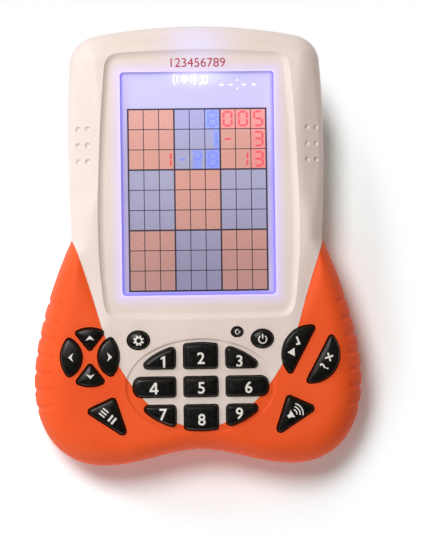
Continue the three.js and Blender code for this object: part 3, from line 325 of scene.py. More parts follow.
def add(tree, kind, *values, **named):
    """Adds a node. Values fill its inputs in order, and a name is one of its settings or inputs."""
    node = tree.nodes.new("ShaderNode" + kind)
    for key in [key for key in named if hasattr(node, key)]:
        setattr(node, key, named.pop(key))
    inputs = list(zip([socket for socket in node.inputs if socket.enabled], values))
    inputs += [(node.inputs[key.replace("_", " ")], value) for key, value in named.items()]
    for socket, value in inputs:
        if isinstance(value, bpy.types.Node):
            value = next(out for out in value.outputs if out.enabled)
        if isinstance(value, bpy.types.NodeSocket):
            tree.links.new(value, socket)
        else:
            socket.default_value = value
    return node


COLOUR = {"data_type": "RGBA"}
SOFT = {"interpolation_type": "SMOOTHSTEP"}
TIMES, MINUS, PLUS = ({"operation": name} for name in ("MULTIPLY", "SUBTRACT", "ADD"))
SIZE, LENGTH, MOST, LEAST = ({"operation": name} for name in ("ABSOLUTE", "LENGTH", "MAXIMUM", "MINIMUM"))


def per_mm(size):
    """Pattern scale, in repeats to a metre, for a feature of that many millimetres."""
    return 1 / (size * MM)


def blank(name):
    mat = bpy.data.materials.new(name)
    mat.use_nodes = True
    tree = mat.node_tree
    tree.nodes.clear()
    return mat, tree, add(tree, "TexCoord").outputs["Object"]


def moulded(name, code, dark, grain, roughness, bump, emission=None, **shader):
    """Moulded plastic or rubber: slow colour drift, fine spark-eroded grain, roughness that follows it."""
    mat, tree, place = blank(name)
    drift = add(tree, "TexNoise", Vector=place, Scale=per_mm(28), Detail=3.0)
    fine = add(tree, "TexNoise", Vector=place, Scale=per_mm(grain), Detail=2.0)
    patches = add(tree, "MapRange", drift, 0.3, 0.75, **SOFT)
    colour = add(tree, "Mix", patches, paint(code), paint(dark), **COLOUR)
    rough = add(tree, "MapRange", fine, 0.3, 0.7, roughness - 0.05, roughness + 0.06, **SOFT)
    relief = add(tree, "Bump", Strength=bump, Distance=0.06 * MM, Height=fine)
    surface = add(tree, "BsdfPrincipled", Base_Color=colour, Roughness=rough, Normal=relief, **shader)
    if emission:
        emission(tree, place, surface)
    add(tree, "OutputMaterial", surface)
    return mat


def screen_glow(tree, place, surface):
    """Violet lamp light that leaks round the window and through the top of the case."""
    x, y, z = add(tree, "SeparateXYZ", place).outputs
    middle, tall = (WINDOW_TOP + WINDOW_BOTTOM) / 2 * MM, (WINDOW_TOP - WINDOW_BOTTOM) / 2 * MM
    across = add(tree, "Math", add(tree, "Math", x, **SIZE), WINDOW_HALF * MM, **MINUS)
    along = add(tree, "Math", add(tree, "Math", add(tree, "Math", y, middle, **MINUS), **SIZE), tall, **MINUS)
    outside = [add(tree, "Math", distance, 0.0, **MOST) for distance in (across, along)]
    away = add(tree, "VectorMath", add(tree, "CombineXYZ", *outside), **LENGTH)
    halo = add(tree, "MapRange", away, 0.0, HALO_REACH * MM, 1.0, 0.0, **SOFT)
    line = add(tree, "MapRange", away, 0.0, LINE_REACH * MM, 1.0, 0.0, **SOFT)
    lamp_y = add(tree, "Math", add(tree, "Math", y, LAMP_Y * MM, **MINUS), per_mm(LAMP_REACH_Y), **TIMES)
    lamp_place = add(tree, "CombineXYZ", add(tree, "Math", x, per_mm(LAMP_REACH_X), **TIMES), lamp_y)
    lamp = add(tree, "MapRange", add(tree, "VectorMath", lamp_place, **LENGTH), 0.0, 1.0, 1.0, 0.0, **SOFT)
    shell = surface.inputs["Base Color"].links[0].from_socket
    tinted = add(tree, "Mix", add(tree, "Math", halo, 0.55, **TIMES), shell, paint("#E6DDFF"), **COLOUR)
    tinted = add(tree, "Mix", add(tree, "Math", lamp, 0.45, **TIMES), tinted, paint("#D4D6FF"), **COLOUR)
    light = add(tree, "Mix", lamp, paint("#9288FF"), paint("#B9BCFF"), **COLOUR)
    glow = add(tree, "Math", halo, 0.16, **TIMES)
    for part, share in ((line, 0.3), (lamp, 0.2)):
        glow = add(tree, "Math", glow, add(tree, "Math", part, share, **TIMES), **PLUS)
    for result, name in ((tinted, "Base Color"), (light, "Emission Color"), (glow, "Emission Strength")):
        tree.links.new(next(out for out in result.outputs if out.enabled), surface.inputs[name])


# Cream ABS, injection moulded with a fine satin texture: pale, soft highlights
cream_abs = moulded("cream_abs", "#F1E4DE", "#ECDDD6", 0.7, 0.42, 0.10, screen_glow, IOR=1.53)
# The same ABS on the back, away from the lamp
cream_abs_back = moulded("cream_abs_back", "#F1E4DE", "#EADBD3", 0.7, 0.42, 0.10, IOR=1.53)
# Orange thermoplastic rubber, moulded over the shell: matte with a soft sheen
orange_rubber = moulded("orange_rubber", "#FF6229", "#F85920", 0.8, 0.62, 0.14, IOR=1.45,
                        Specular_IOR_Level=0.3)
# Black ABS, polished tool: deep colour with tight highlights
black_abs = moulded("black_abs", "#070806", "#0B0C09", 1.6, 0.3, 0.04, IOR=1.53,
                    Specular_IOR_Level=0.26)
# White pad-printing ink: flat, slightly uneven cover
white_ink = moulded("white_ink", "#F4F3EE", "#E6E4DD", 0.9, 0.5, 0.05, IOR=1.5)
# Crimson pad-printing ink: flat and even
crimson_ink = moulded("crimson_ink", "#B81F45", "#A81A3D", 0.9, 0.5, 0.05, IOR=1.5)


# Plan of the keys

def clip(points, origin, normal):
    """Part of a convex shape on the side of a line that its normal points to."""
    kept = []
    for p, q in zip(points, points[1:] + points[:1]):
        a, b = (p - origin).dot(normal), (q - origin).dot(normal)
        if a >= 0:
            kept.append(p)
        if a * b < 0:
            kept.append(p.lerp(q, a / (a - b)))
    return kept


def edges_of(points):
    for p, q in zip(points, points[1:] + points[:1]):
        if (q - p).length > 1e-6:
            along = (q - p).normalized()
            yield p, plan(-along.y, along.x)


def drawn_in(points, distance):
    left = points
    for p, normal in edges_of(points):
        left = clip(left, p + normal * distance, normal)
    return left


def grown(core, radius):
    """Convex core grown by a radius, with round corners."""
    points = []
    for i, p in enumerate(core):
        a, b = p - core[i - 1], core[(i + 1) % len(core)] - p
        start = math.atan2(-a.x, a.y)
        turn = (math.atan2(-b.x, b.y) - start + 4 * math.pi) % (2 * math.pi)
        steps = math.ceil(math.degrees(turn) / 14 - 0.6)
        shares = [k / steps for k in range(steps + 1)] if steps > 0 else [0.5]
        points += [p + plan(math.cos(start + turn * s), math.sin(start + turn * s)) * radius for s in shares]
    return points


KEY_COLUMN, KEY_ROW, KEY_GAP = 11.7, 7.0, 2.4
PAD_RIM_SIDE, PAD_RIM_END = 2.45, 1.3  # from the edge of the oval field to the keys
ARROW_ANGLE, ARROW_APEX = 38, 1.5
LEAF_RADIUS, LEAF_MIDDLE = 7.2, 9.6
MOON_ANGLE, MOON_RADIUS, MOON_GAP, MOON_LIFT = 62, 9.85, 5.1, 0.5
CORNER_KEY, CORNER_KEY_ROUND = ((-2.3, 6.1), (8.3, 1.3), (-7.2, -8.9)), 1.4
CORNER_KEY_X, CORNER_KEY_Y = CLUSTER_X - 5.85, PAD_Y - 8.9
OVAL_X, OVAL_Y = 0.82 * PAD_WIDTH / 2, PAD_Y + PAD_HEIGHT / 2 - 0.4
OVAL_HALF, SMALL_OVAL_HALF = (3.9, 3.25), (2.1, 1.8)
SMALL_OVAL_X, SMALL_OVAL_Y = OVAL_X - 8.4, OVAL_Y + 2.4
KEY_CORNER, TIP_CORNER, LEAST_CORNER, END_ROUND = 1.1, 1.5, 0.1, 2.8  # corners in plan
FLANGE, FLANGE_THICK = 0.65, 1.0
KEY_HOLE, KEY_SIDE = 0.1, -0.25  # hole and cap side, out from the plan shape
KEY_EDGE, PEBBLE_EDGE, KEY_DROP = 1.2, 0.75, 1.15  # rounded upper edge, its widths and height
KEY_CROWN, PEBBLE_CROWN = 0.12, 0.45  # rise of the top of a number key and of the other keys
LEGEND_PROUD = 0.06


def number_key(column, row):
    """Slice of the pad's oval. The middle row has round outer ends."""
    shape = oval(0, PAD_Y, PAD_WIDTH / 2 - PAD_RIM_SIDE, PAD_HEIGHT / 2 - PAD_RIM_END, 120)
    for index, size, axis in ((row, KEY_ROW, plan(0, 1)), (column, KEY_COLUMN, plan(1, 0))):
        near = size / 2 + KEY_GAP
        low, high = {-1: (None, -near), 0: (-size / 2, size / 2), 1: (near, None)}[index]
        if low is not None:
            shape = clip(shape, plan(0, PAD_Y) + axis * low, axis)
        if high is not None:
            shape = clip(shape, plan(0, PAD_Y) + axis * high, -axis)
        if axis.y and row == 0:
            shape = grown(drawn_in(shape, END_ROUND), END_ROUND)
    return shape


def arrow_key(way):
    """Up or down key: a slice of the round cluster."""
    angle = math.radians(ARROW_ANGLE)
    disc = oval(-CLUSTER_X, ARROWS_Y, CLUSTER_RADIUS, CLUSTER_RADIUS, 90)
    apex = plan(-CLUSTER_X, ARROWS_Y + way * ARROW_APEX)
    for side in (-1, 1):
        disc = clip(disc, apex, plan(side * math.cos(angle), way * math.sin(angle)))
    return disc


def leaf_key(way):
    """Left or right key: where two discs overlap."""
    leaf = oval(-CLUSTER_X, ARROWS_Y, CLUSTER_RADIUS, CLUSTER_RADIUS, 90)
    for p, normal in edges_of(oval(-CLUSTER_X + way * LEAF_MIDDLE, ARROWS_Y, LEAF_RADIUS, LEAF_RADIUS, 70)):
        leaf = clip(leaf, p, normal)
    return leaf


def moon_key(way):
    """Half of a disc, cut along a slanting gap."""
    angle, middle = math.radians(MOON_ANGLE), plan(CLUSTER_X, CLUSTER_Y + MOON_LIFT)
    normal = plan(math.sin(angle), -math.cos(angle)) * way
    return clip(oval(*middle, MOON_RADIUS, MOON_RADIUS, 90), middle + normal * MOON_GAP / 2, normal)


def corner_key(way):
    corners = [plan(way * (CORNER_KEY_X + x), CORNER_KEY_Y + y) for x, y in CORNER_KEY]
    return corners[::-1] if way == 1 else corners


key_shapes = {}
for i in range(9):
    column, row = i % 3 - 1, 1 - i // 3
    key_shapes[f"key_{i + 1}"] = (number_key(column, row), TIP_CORNER if column and row else KEY_CORNER)
key_shapes |= {
    "key_up": (arrow_key(1), KEY_CORNER), "key_down": (arrow_key(-1), KEY_CORNER),
    "key_left": (leaf_key(-1), KEY_CORNER), "key_right": (leaf_key(1), KEY_CORNER),
    "key_start": (moon_key(-1), KEY_CORNER), "key_help": (moon_key(1), KEY_CORNER),
    "key_mode": (corner_key(-1), CORNER_KEY_ROUND), "key_sound": (corner_key(1), CORNER_KEY_ROUND),
    "key_set": (oval(-OVAL_X, OVAL_Y, *OVAL_HALF, 64), KEY_CORNER),
    "key_power": (oval(OVAL_X, OVAL_Y, *OVAL_HALF, 64), KEY_CORNER),
    "key_reset": (oval(SMALL_OVAL_X, SMALL_OVAL_Y, *SMALL_OVAL_HALF, 48), KEY_CORNER),
}
key_cores = {name: (drawn_in(shape, corner), corner) for name, (shape, corner) in key_shapes.items()}


def key_cap(name):
    """Cap with a flange under the deck, a rounded upper edge and a domed top."""
    core, corner = key_cores[name]
    crown, edge = (KEY_CROWN, KEY_EDGE) if name[-1].isdigit() else (PEBBLE_CROWN, PEBBLE_EDGE)
    sides = [((p + q) / 2, (q - p).length) for p, q in zip(core, core[1:] + core[:1])]
    around = sum(length for place, length in sides)
    middle = sum((place * length for place, length in sides), plan(0, 0)) / around
    near = min((middle - p).dot(normal) for p, normal in edges_of(core))

    def outline(offset):
        """Plan shape moved in or out. Past the corner radius it shrinks towards the middle."""
        radius = max(corner + offset, LEAST_CORNER)
        share = 1 - (radius - corner - offset) / near
        return [middle.lerp(p, share) for p in grown(core, radius)]

    rim = outline(KEY_SIDE - edge)
    reach = max((p - middle).length for p in rim)

    def domed(points, drop):
        top = KEY_TOP - LEGEND_PROUD - drop
        return [Vector((p.x, p.y, top - crown * ((p - middle).length / reach) ** 2)) for p in points]

    base = FLANGE_LOW + FLANGE_THICK
    rings = [at(outline(FLANGE), FLANGE_LOW), at(outline(FLANGE), base), at(outline(KEY_SIDE), base)]
    for k in range(7):
        angle = math.radians(90 * k / 6)
        side = outline(KEY_SIDE - edge * (1 - math.cos(angle)))
        rings.append(domed(side, KEY_DROP * (1 - math.sin(angle))))
    rings += [domed([middle.lerp(p, 1 - k / 8) for p in rim], 0) for k in range(1, 9)]
    return loft(rings)


def dressed(obj, name, body, material, sharp=30, stands_for=(), weighted=False):
    """Names a piece, shades it, puts it on its body and gives it its finish."""
    obj.name = obj.data.name = name
    obj.data.materials.clear()
    obj.data.materials.append(material)
    obj.data.polygons.foreach_set("use_smooth", [True] * len(obj.data.polygons))
    obj.data.set_sharp_from_angle(angle=math.radians(sharp))
    if weighted:
        obj.modifiers.new("even_shading", "WEIGHTED_NORMAL").keep_sharp = True
    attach(obj, body)
    if stands_for:
        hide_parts(*stands_for)
    return obj


key_caps = {}
for key in key_shapes:
    cap = as_object(key, key_cap(key))
    key_caps[key] = dressed(cap, key + "_cap", key, black_abs, 50, [key])


# Front of the case

SPLIT_STEPS = 40


def split_line(shift):
    """Right half of the edge of the orange field, from its tip at the waist to the middle of the bottom."""
    tip = plan(WAIST_HALF, WAIST_Y)
    neck = plan(CLUSTER_X - 3.9, CLUSTER_Y + CLUSTER_RADIUS + 0.65)
    low = plan(0, PAD_Y - PAD_HEIGHT / 2 + 2.3)
    run, drop = tip.y - neck.y, neck.y - low.y
    tip_pull, neck_pull = (tip.x - 3.3, tip.y - 0.29 * run), (neck.x + 2.5, neck.y + 0.31 * run)
    line = bezier(tip, tip_pull, neck_pull, neck, SPLIT_STEPS)
    neck_pull, low_pull = (neck.x - 4.2, neck.y - 0.41 * drop), (neck.x / 2, low.y)
    line += bezier(neck, neck_pull, low_pull, low, SPLIT_STEPS)[1:]
    moved = []
    for i, p in enumerate(line):
        along = (line[min(i + 1, len(line) - 1)] - line[max(i - 1, 0)]).normalized()
        moved.append(p + plan(along.y, -along.x) * shift)
    return moved


def grip_field(shift):
    half, far = split_line(shift), GRIP_HALF + 10
    left = [plan(-p.x, p.y) for p in half[-2::-1]]
    ends = [plan(-far, half[0].y), plan(-far, FOOT_Y - 10), plan(far, FOOT_Y - 10)]
    return prism([plan(far, half[0].y)] + half + left + ends, -2, DECK + 3)


VALLEY_LINE = split_line(0)[:SPLIT_STEPS + 1]
VALLEY_RUN_OUT = 8  # above the waist
VALLEY_SLANT = 0.955  # about the cosine of the line's lean


def valley_level(x, y):
    """Level of the hollow between white and orange, or None away from it."""
    if y < VALLEY_LINE[-1].y or y > WAIST_Y + VALLEY_RUN_OUT:
        return None
    k = next((i for i, p in enumerate(VALLEY_LINE) if p.y < y), 0)
    if k == 0:
        here, depth = WAIST_HALF, VALLEY_DEPTH * smooth(WAIST_Y + VALLEY_RUN_OUT, WAIST_Y, y)
    else:
        a, b = VALLEY_LINE[k - 1], VALLEY_LINE[k]
        share = (y - a.y) / (b.y - a.y)
        here = a.x + (b.x - a.x) * share
        depth = VALLEY_DEPTH * (1 - ((k - 1 + share) / SPLIT_STEPS) ** 4)
    away = (abs(x) - here) * VALLEY_SLANT
    return DECK - depth + (VALLEY_GRIP * away if away > 0 else -VALLEY_WHITE * away)


def dish_outline():
    """Edge of the sunk field round the screen: tight lower corners, bowed sides, a slightly arched top."""
    half = [((0, 65.2), (9, 65.2), (18, 64.7), (25.5, 64.3)),
            ((25.5, 64.3), (29.2, 64.1), (30.9, 62.3), (31.1, 58.6)),
            ((31.1, 58.6), (32.6, 42), (35.3, 8), (32.5, -17.6)),
            ((32.5, -17.6), (32.0, -22.0), (30.6, -24.2), (26.5, -24.3)),
            ((26.5, -24.3), (18, -24.6), (9, -24.7), (0, -24.7))]
    points = []
    for curve in half:
        points += bezier(*curve, 28)[1 if points else 0:]
    return points[::-1] + [plan(-p.x, p.y) for p in points[1:-1]]


def dish_cutter():
    """Crisp upper edge, then a wall that runs out into the floor."""
    outline = dish_outline()
    normals = outward(outline)
    wall = [(-0.5, 0.6), (0, 0), (0.3, -0.34), (0.62, -0.64), (0.98, -0.88), (1.4, -1.05), (1.85, -1.15),
            (2.5, -DISH_DEPTH)]
    return loft([at([p - n * d for p, n in zip(outline, normals)], DECK + z) for d, z in wall])


def softly_least(a, b, soft):
    """Lesser of two levels, with the crease between them rounded."""
    near = max(soft - abs(a - b), 0) / soft
    return min(a, b) - near * near * soft / 4


def front_level(p):
    """A point of the case form, lowered to its shoulders and valleys."""
    x, y, z = p
    if z < DECK - EDGE_BAND:
        return p
    if y > WAIST_Y:
        middle = WAIST_Y + SHOULDER_MIDDLE * (TOP_Y - WAIST_Y)
        away = (y - middle) / (TOP_Y - middle if y > middle else middle - WAIST_Y)
        bow = SHOULDER_BOW * away ** 2 if away > 0 else SHOULDER_TO_EDGE * abs(away) ** 3
        crease = HEAD_HALF - SHOULDER_TO_EDGE + bow
        z = softly_least(z, DECK - SHOULDER_SLOPE * (abs(x) - crease), SHOULDER_SOFT)
    valley = valley_level(x, y)
    if valley is not None:
        z = softly_least(z, valley, VALLEY_SOFT)
    return Vector((x, y, z))


def edge_rings(front, steps):
    """The groove at the seam, then the rounded edge of a half of the case."""
    outline = OUTLINES[FINE][0]
    groove = [p - n * SEAM_GROOVE for p, n in zip(*OUTLINES[FINE])]
    rings = [at(groove, SEAM), at(outline, SEAM + SEAM_GROOVE if front else SEAM - SEAM_GROOVE)]
    return rings + [edge_ring(front, k / steps, FINE) for k in range(1, steps + 1)]


MIDDLE_LOW, MIDDLE_HIGH = -50, 58  # ends of the line that the rings of the deck close in on
NEAR_STEP, NEAR_RINGS, FAR_RINGS = 0.016, 26, 12  # rings lie close where the deck has its forms


def front_form():
    """Upper half of the case: the rounded edge, then rings that close in on the middle line."""
    rings = edge_rings(True, 18)
    rim = rings[-1]
    half = len(rim) // 2
    rises = [min(i, 2 * half - i) / half for i in range(len(rim))]
    middle = [Vector((0, MIDDLE_LOW + (MIDDLE_HIGH - MIDDLE_LOW) * rise, DECK)) for rise in rises]
    shares, near = [NEAR_STEP * k for k in range(1, NEAR_RINGS + 1)], NEAR_STEP * NEAR_RINGS
    shares += [near + (1 - near) * k / FAR_RINGS for k in range(1, FAR_RINGS + 1)]
    rings += [[a.lerp(b, share) for a, b in zip(rim, middle)] for share in shares]
    return loft([[front_level(p) for p in ring] for ring in rings])


def inner_form(front, depth):
    """Hidden inner face, running on past the seam."""
    rings = [edge_ring(front, k / 4, COARSE, depth) for k in range(5)]
    skirt = [Vector((p.x, p.y, p.z - (1 if front else -1))) for p in rings[0]]
    return loft([skirt] + rings)


def key_holes():
    bm = bmesh.new()
    for core, corner in key_cores.values():
        prism(grown(core, corner + KEY_HOLE), BOARD_TOP, DECK + 2, bm)
    return bm


def pad_cutter():
    """Shallow oval field that the number keys stand in."""
    wall = [(0.5, 0.4), (0, 0), (-0.25, -0.22), (-0.55, -0.4), (-1.0, -PAD_DEPTH)]
    return loft([at(oval(0, PAD_Y, PAD_WIDTH / 2 + d, PAD_HEIGHT / 2 + d, 160), DECK + z) for d, z in wall])


DIMPLE_RADIUS, DIMPLE_COLUMNS, DIMPLE_ROWS = 0.95, (2.8, 5.9), (-5.4, 0, 5.4)
DIMPLE_MIDDLE = WAIST_Y + 0.44 * (TOP_Y - WAIST_Y)


def ball(place, radius, around, up, bm):
    bmesh.ops.create_uvsphere(bm, u_segments=around, v_segments=up, radius=radius,
                              matrix=Matrix.Translation(place))
    return bm


def dimples():
    """Two columns of three on each shoulder."""
    bm = bmesh.new()
    for side in (-1, 1):
        for column in DIMPLE_COLUMNS:
            x, level = side * (HEAD_HALF - SHOULDER_TO_EDGE + column), DECK - SHOULDER_SLOPE * column
            for row in DIMPLE_ROWS:
                ball((x, DIMPLE_MIDDLE + row, level), DIMPLE_RADIUS, 20, 12, bm)
    return bm


def round_bar(name, radius, resolution):
    """Empty curve that gives its lines a round section."""
    curve = bpy.data.curves.new(name, "CURVE")
    curve.dimensions, curve.use_fill_caps = "3D", True
    curve.bevel_depth, curve.bevel_resolution = radius, resolution
    return curve


def add_line(curve, route):
    line = curve.splines.new("POLY")
    line.points.add(len(route) - 1)
    for point, place in zip(line.points, route):
        point.co = (*place, 1)


NOTCHES, NOTCH_PITCH, NOTCH_TOP = 7, 6, GRIP_Y + 27.5
NOTCH_RADIUS, NOTCH_LIFT, NOTCH_TILT = 1.5, 1.02, 1.4  # the bar's middle stands off the edge by the lift


def notches():
    """Round bars that cut the finger notches over the edges of the grips."""
    curve = round_bar("notch", NOTCH_RADIUS, 5)
    right = [(p, n) for p, n in zip(*OUTLINES[FINE]) if p.x > 0.8 * WAIST_HALF]
    # Shares of the edge's turn, from the front face down to the seam and on to the back
    turns = [(True, 0.68 - 0.04 * j) for j in range(18)] + [(False, 0.05 * j) for j in range(1, 9)]
    for k in range(NOTCHES):
        y = NOTCH_TOP - k * NOTCH_PITCH
        edge, normal = min(right, key=lambda place: abs(place[0].y - y))
        route = []
        for front, share in turns:
            turn, tilt = edge_point(front, edge, share), share * NOTCH_TILT
            out = edge + normal * (NOTCH_LIFT * math.cos(tilt) - turn.x)
            rise = turn.y + NOTCH_LIFT * math.sin(tilt)
            route.append((out.x, out.y, SEAM + rise if front else SEAM - rise))
        for side in (-1, 1):
            add_line(curve, [(side * x, y, z) for x, y, z in route])
    return mesh_of(curve)


def part_skin(half, front, name, node):
    """Takes the rubber skin off a half of the case, and hollows the shell under it."""
    skin = copy_of(half, "skin")
    carve(skin, grip_field(0), "INTERSECT")
    carve(skin, inner_form(front, SKIN))
    carve(skin, notches())
    dressed(skin, name, "case", orange_rubber, 32, [node], True)
    under_skin = as_object("under_skin", grip_field(JOINT))
    carve(under_skin, inner_form(front, SKIN + FIT))
    carve(half, under_skin)
    carve(half, inner_form(front, WALL))


front = as_object("front", front_form())
carve(front, pad_cutter())
carve(front, key_holes())
part_skin(front, True, "front_grip_skin", "front_grip")
window = rounded_box(WINDOW_HALF, WINDOW_BOTTOM, WINDOW_TOP, WINDOW_CORNER)
lens_seat = rounded_box(LENS_HIGH.x + FIT, LENS_LOW.y - FIT, LENS_HIGH.y + FIT, LENS_CORNER)
carve(front, prism(window, BOARD_TOP, DECK + 2))
carve(front, prism(lens_seat, BOARD_TOP, LENS_HIGH.z))
carve(front, dish_cutter())
carve(front, dimples())
dressed(front, "front_shell_skin", "case", cream_abs, 32, ["front_shell"], True)


# Legends: numbers and plain signs in white ink

LEGEND_LOW, LEGEND_HIGH = KEY_TOP - 1.2, KEY_TOP + 1  # before each is cut to the dome of its cap
FIGURE_HEIGHT, FIGURE_WEIGHT = 3.9, 0.015


def letters(text, height, weight, low, high):
    """Flat letters about the origin, of a given height."""
    curve = bpy.data.curves.new("letters", "FONT")
    curve.body, curve.offset, curve.extrude, curve.resolution_u = text, weight, 0.5, 6
    bm = mesh_of(curve)
    spread = [[f(v.co[i] for v in bm.verts) for f in (min, max)] for i in (0, 1)]
    middle = Vector((sum(spread[0]) / 2, sum(spread[1]) / 2, 0))
    size = height / (spread[1][1] - spread[1][0])
    move(bm, -middle)
    bmesh.ops.scale(bm, vec=(size, size, high - low), verts=bm.verts)
    move(bm, (0, 0, (low + high) / 2))
    return bm


def bar(x1, y1, x2, y2, width):
    a, b = plan(x1, y1), plan(x2, y2)
    along = (b - a).normalized() * width / 2
    side = plan(-along.y, along.x)
    return [a - side, b - side, b + side, a + side]


def arc(x, y, radius, width, start, end):
    """Band along part of a circle, with its ends in degrees."""
    steps = max(4, round(abs(end - start) / 12))
    turns = [start + (end - start) * k / steps for k in range(steps + 1)]
    outer = [plan(x, y) + ring_point(radius + width / 2, a) for a in turns]
    inner = [plan(x, y) + ring_point(radius - width / 2, a) for a in turns]
    return outer + inner[::-1]


def star(count, start, points):
    """Outline that repeats a few (radius, degrees) points about the middle."""
    return [ring_point(r, start + 360 / count * k + a) for k in range(count) for r, a in points]


def marks(shapes, low, high, scale=1.0):
    bm = bmesh.new()
    for points in shapes:
        prism([plan(p[0] * scale, p[1] * scale) for p in points], low, high, bm)
    return bm


# Signs as plan outlines about their middles. A hole is joined to the outside by a hairline slit
gear = [star(8, 22.5, ((1.2, -14), (1.65, -9), (1.65, 9), (1.2, 14)))]
gear[0] += [ring_point(0.7, 359 - a) for a in range(0, 360, 17)]
power = [arc(0, 0, 1.2, 0.38, 125, 415), bar(0, 0.2, 0, 1.6, 0.38)]
again = [arc(0, 0, 0.7, 0.26, 60, 345), [(0.25, -0.14), (1.15, -0.14), (0.7, 0.5)]]
play_and_tick = [[(-3.1, -1.4), (-0.7, 0), (-3.1, 1.4)],
                 [(0.4, -0.1), (1.3, -1.3), (3.2, 0.9), (2.75, 1.3), (1.35, -0.35), (0.9, 0.25)]]
cross = [plan(1.8, 0) + p for p in star(4, 45, ((1.48, -12), (1.48, 12), (0.42, 45)))]
list_and_pause = [bar(-3.2, y, -0.7, y, 0.5) for y in (-1.1, 0, 1.1)]
list_and_pause += [bar(x, -1.35, x, 1.35, 0.75) for x in (1.1, 2.6)]
speaker = [[(-3.0, -0.6), (-2.1, -0.6), (-0.9, -1.5), (-0.9, 1.5), (-2.1, 0.6), (-3.0, 0.6)]]
speaker += [arc(-1.0, 0, r, 0.42, -42, 42) for r in (1.5, 2.6, 3.7)]
arrow = [[(0, -0.35), (1.5, -0.85), (0, 0.85), (-1.5, -0.85)]]
one = [[(0.1, -1.95), (0.85, -1.95), (0.85, 1.95), (0.3, 1.95), (-0.65, 1.3), (-0.65, 0.75), (0.1, 1.1)]]
four = [[(1.0, -1.95), (1.0, -1.15), (1.5, -1.15), (1.5, -0.5), (1.0, -0.5), (1.0, 0.29), (0.3, 0.29),
         (0.3, -0.5), (-0.7, -0.5), (0.3, 0.98), (0.3, 0.31), (1.0, 0.31), (1.0, 1.95), (0.2, 1.95),
         (-1.5, -0.55), (-1.5, -1.15), (0.3, -1.15), (0.3, -1.95)]]

number_places = {
    1: (-12.8, -38.8), 2: (0, -37.7), 3: (12.8, -38.8), 4: (-15.8, -47.6), 5: (0, -47.6), 6: (15.8, -47.6),
    7: (-12.8, -56.3), 8: (0, -58.2), 9: (12.6, -56.3)}
legends = [(f"key_{n}", letters(str(n), FIGURE_HEIGHT, FIGURE_WEIGHT, LEGEND_LOW, LEGEND_HIGH), x, y, 0)
           for n, (x, y) in number_places.items() if n not in (1, 4)]
for key, shapes, scale, x, y, angle in (
        ("key_1", one, 1.0, *number_places[1], 0), ("key_4", four, 1.0, *number_places[4], 0),
        ("key_up", arrow, 1.0, -36.9, -30.5, 0), ("key_down", arrow, 1.0, -36.9, -43.3, 180),
        ("key_left", arrow, 1.0, -43.4, ARROWS_Y, 90), ("key_right", arrow, 1.0, -30.4, ARROWS_Y, -90),
        ("key_set", gear, 1.1, -20.7, -31.6, 0), ("key_power", power, 1.1, 20.7, -31.7, 0),
        ("key_reset", again, 1.0, 12.3, -29.1, 0), ("key_start", play_and_tick, 1.0, 31.6, -34.1, MOON_ANGLE),
        ("key_mode", list_and_pause, 0.95, -31.2, -56.6, -40), ("key_sound", speaker, 0.95, 31.2, -56.2, 33)):
    legends.append((key, marks(shapes, LEGEND_LOW, LEGEND_HIGH, scale), x, y, angle))
help_mark = letters("?", 3.2, FIGURE_WEIGHT, LEGEND_LOW, LEGEND_HIGH)
move(help_mark, (-1.7, 0, 0))
prism(cross, LEGEND_LOW, LEGEND_HIGH, help_mark)
legends.append(("key_help", help_mark, 42.0, -39.5, MOON_ANGLE))
for key, bm, x, y, angle in legends:
    put = Matrix.Translation((x, y, 0)) @ Matrix.Rotation(math.radians(angle), 4, "Z")
    bmesh.ops.transform(bm, matrix=put, verts=bm.verts)
    raised = copy_of(key_caps[key], "raised")
    raised.data.transform(Matrix.Translation((0, 0, LEGEND_PROUD * MM)))
    dressed(carve(as_object(key, bm), raised, "INTERSECT"), key + "_legend", key, white_ink)

# Row of plain numbers over the screen
DISH_FLOOR = DECK - DISH_DEPTH
number_row = letters("123456789", 3.0, 0.0, DISH_FLOOR - 0.1, DISH_FLOOR + 0.06)
move(number_row, (0.4, 60.9, 0))
dressed(as_object("numbers", number_row), "number_row", "case", crimson_ink)


# Screen: a printed grid of filters over the glass, idle and lit segments, a clock row

GRID_HALF, GRID_LOW, GRID_HIGH = 23.1, -15.2, 45.5
CELL_X, CELL_Y = 2 * GRID_HALF / 9, (GRID_HIGH - GRID_LOW) / 9
GLASS = span("lcd_panel")[1].z
THIN_LINE, THICK_LINE = 0.14, 0.27  # half widths
BLOCK_GAP = 0.02  # keeps the corners of the blocks apart, under the lines


def on_screen(name, bm, material):
    dressed(as_object(name, bm), "screen_" + name, "case", material)


def cell_middle(row, column):
    return plan(-GRID_HALF + (column + 0.5) * CELL_X, GRID_HIGH - (row + 0.5) * CELL_Y)


def tiles(blue):
    """Every other block of nine cells, as one thin plate each."""
    bm = bmesh.new()
    half = plan(CELL_X, CELL_Y) * 1.5 - plan(BLOCK_GAP, BLOCK_GAP)
    for row in (1, 4, 7):
        for column in (1, 4, 7):
            if ((row + column) % 2 == 1) == blue:
                m = cell_middle(row, column)
                box((*(m - half), GLASS - 0.05), (*(m + half), GLASS + 0.04), bm)
    return bm


def grid_lines():
    """Thin lines between cells, thicker ones round the blocks."""
    upright, level = bmesh.new(), bmesh.new()
    for k in range(10):
        half, high = THIN_LINE if k % 3 else THICK_LINE, GLASS + 0.08
        x, y = -GRID_HALF + k * CELL_X, GRID_HIGH - k * CELL_Y
        box((x - half, GRID_LOW - THICK_LINE, GLASS), (x + half, GRID_HIGH + THICK_LINE, high), upright)
        box((-GRID_HALF - THICK_LINE, y - half, GLASS), (GRID_HALF + THICK_LINE, y + half, high), level)
    return carve(as_object("lines", upright), level, "UNION")


SEGMENT_X, SEGMENT_Y, SEGMENT = 1.35, 2.3, 0.7
SEGMENTS = {"a": (0, 2), "g": (0, 1), "d": (0, 0),
            "f": (-1, 1.5), "e": (-1, 0.5), "b": (1, 1.5), "c": (1, 0.5)}
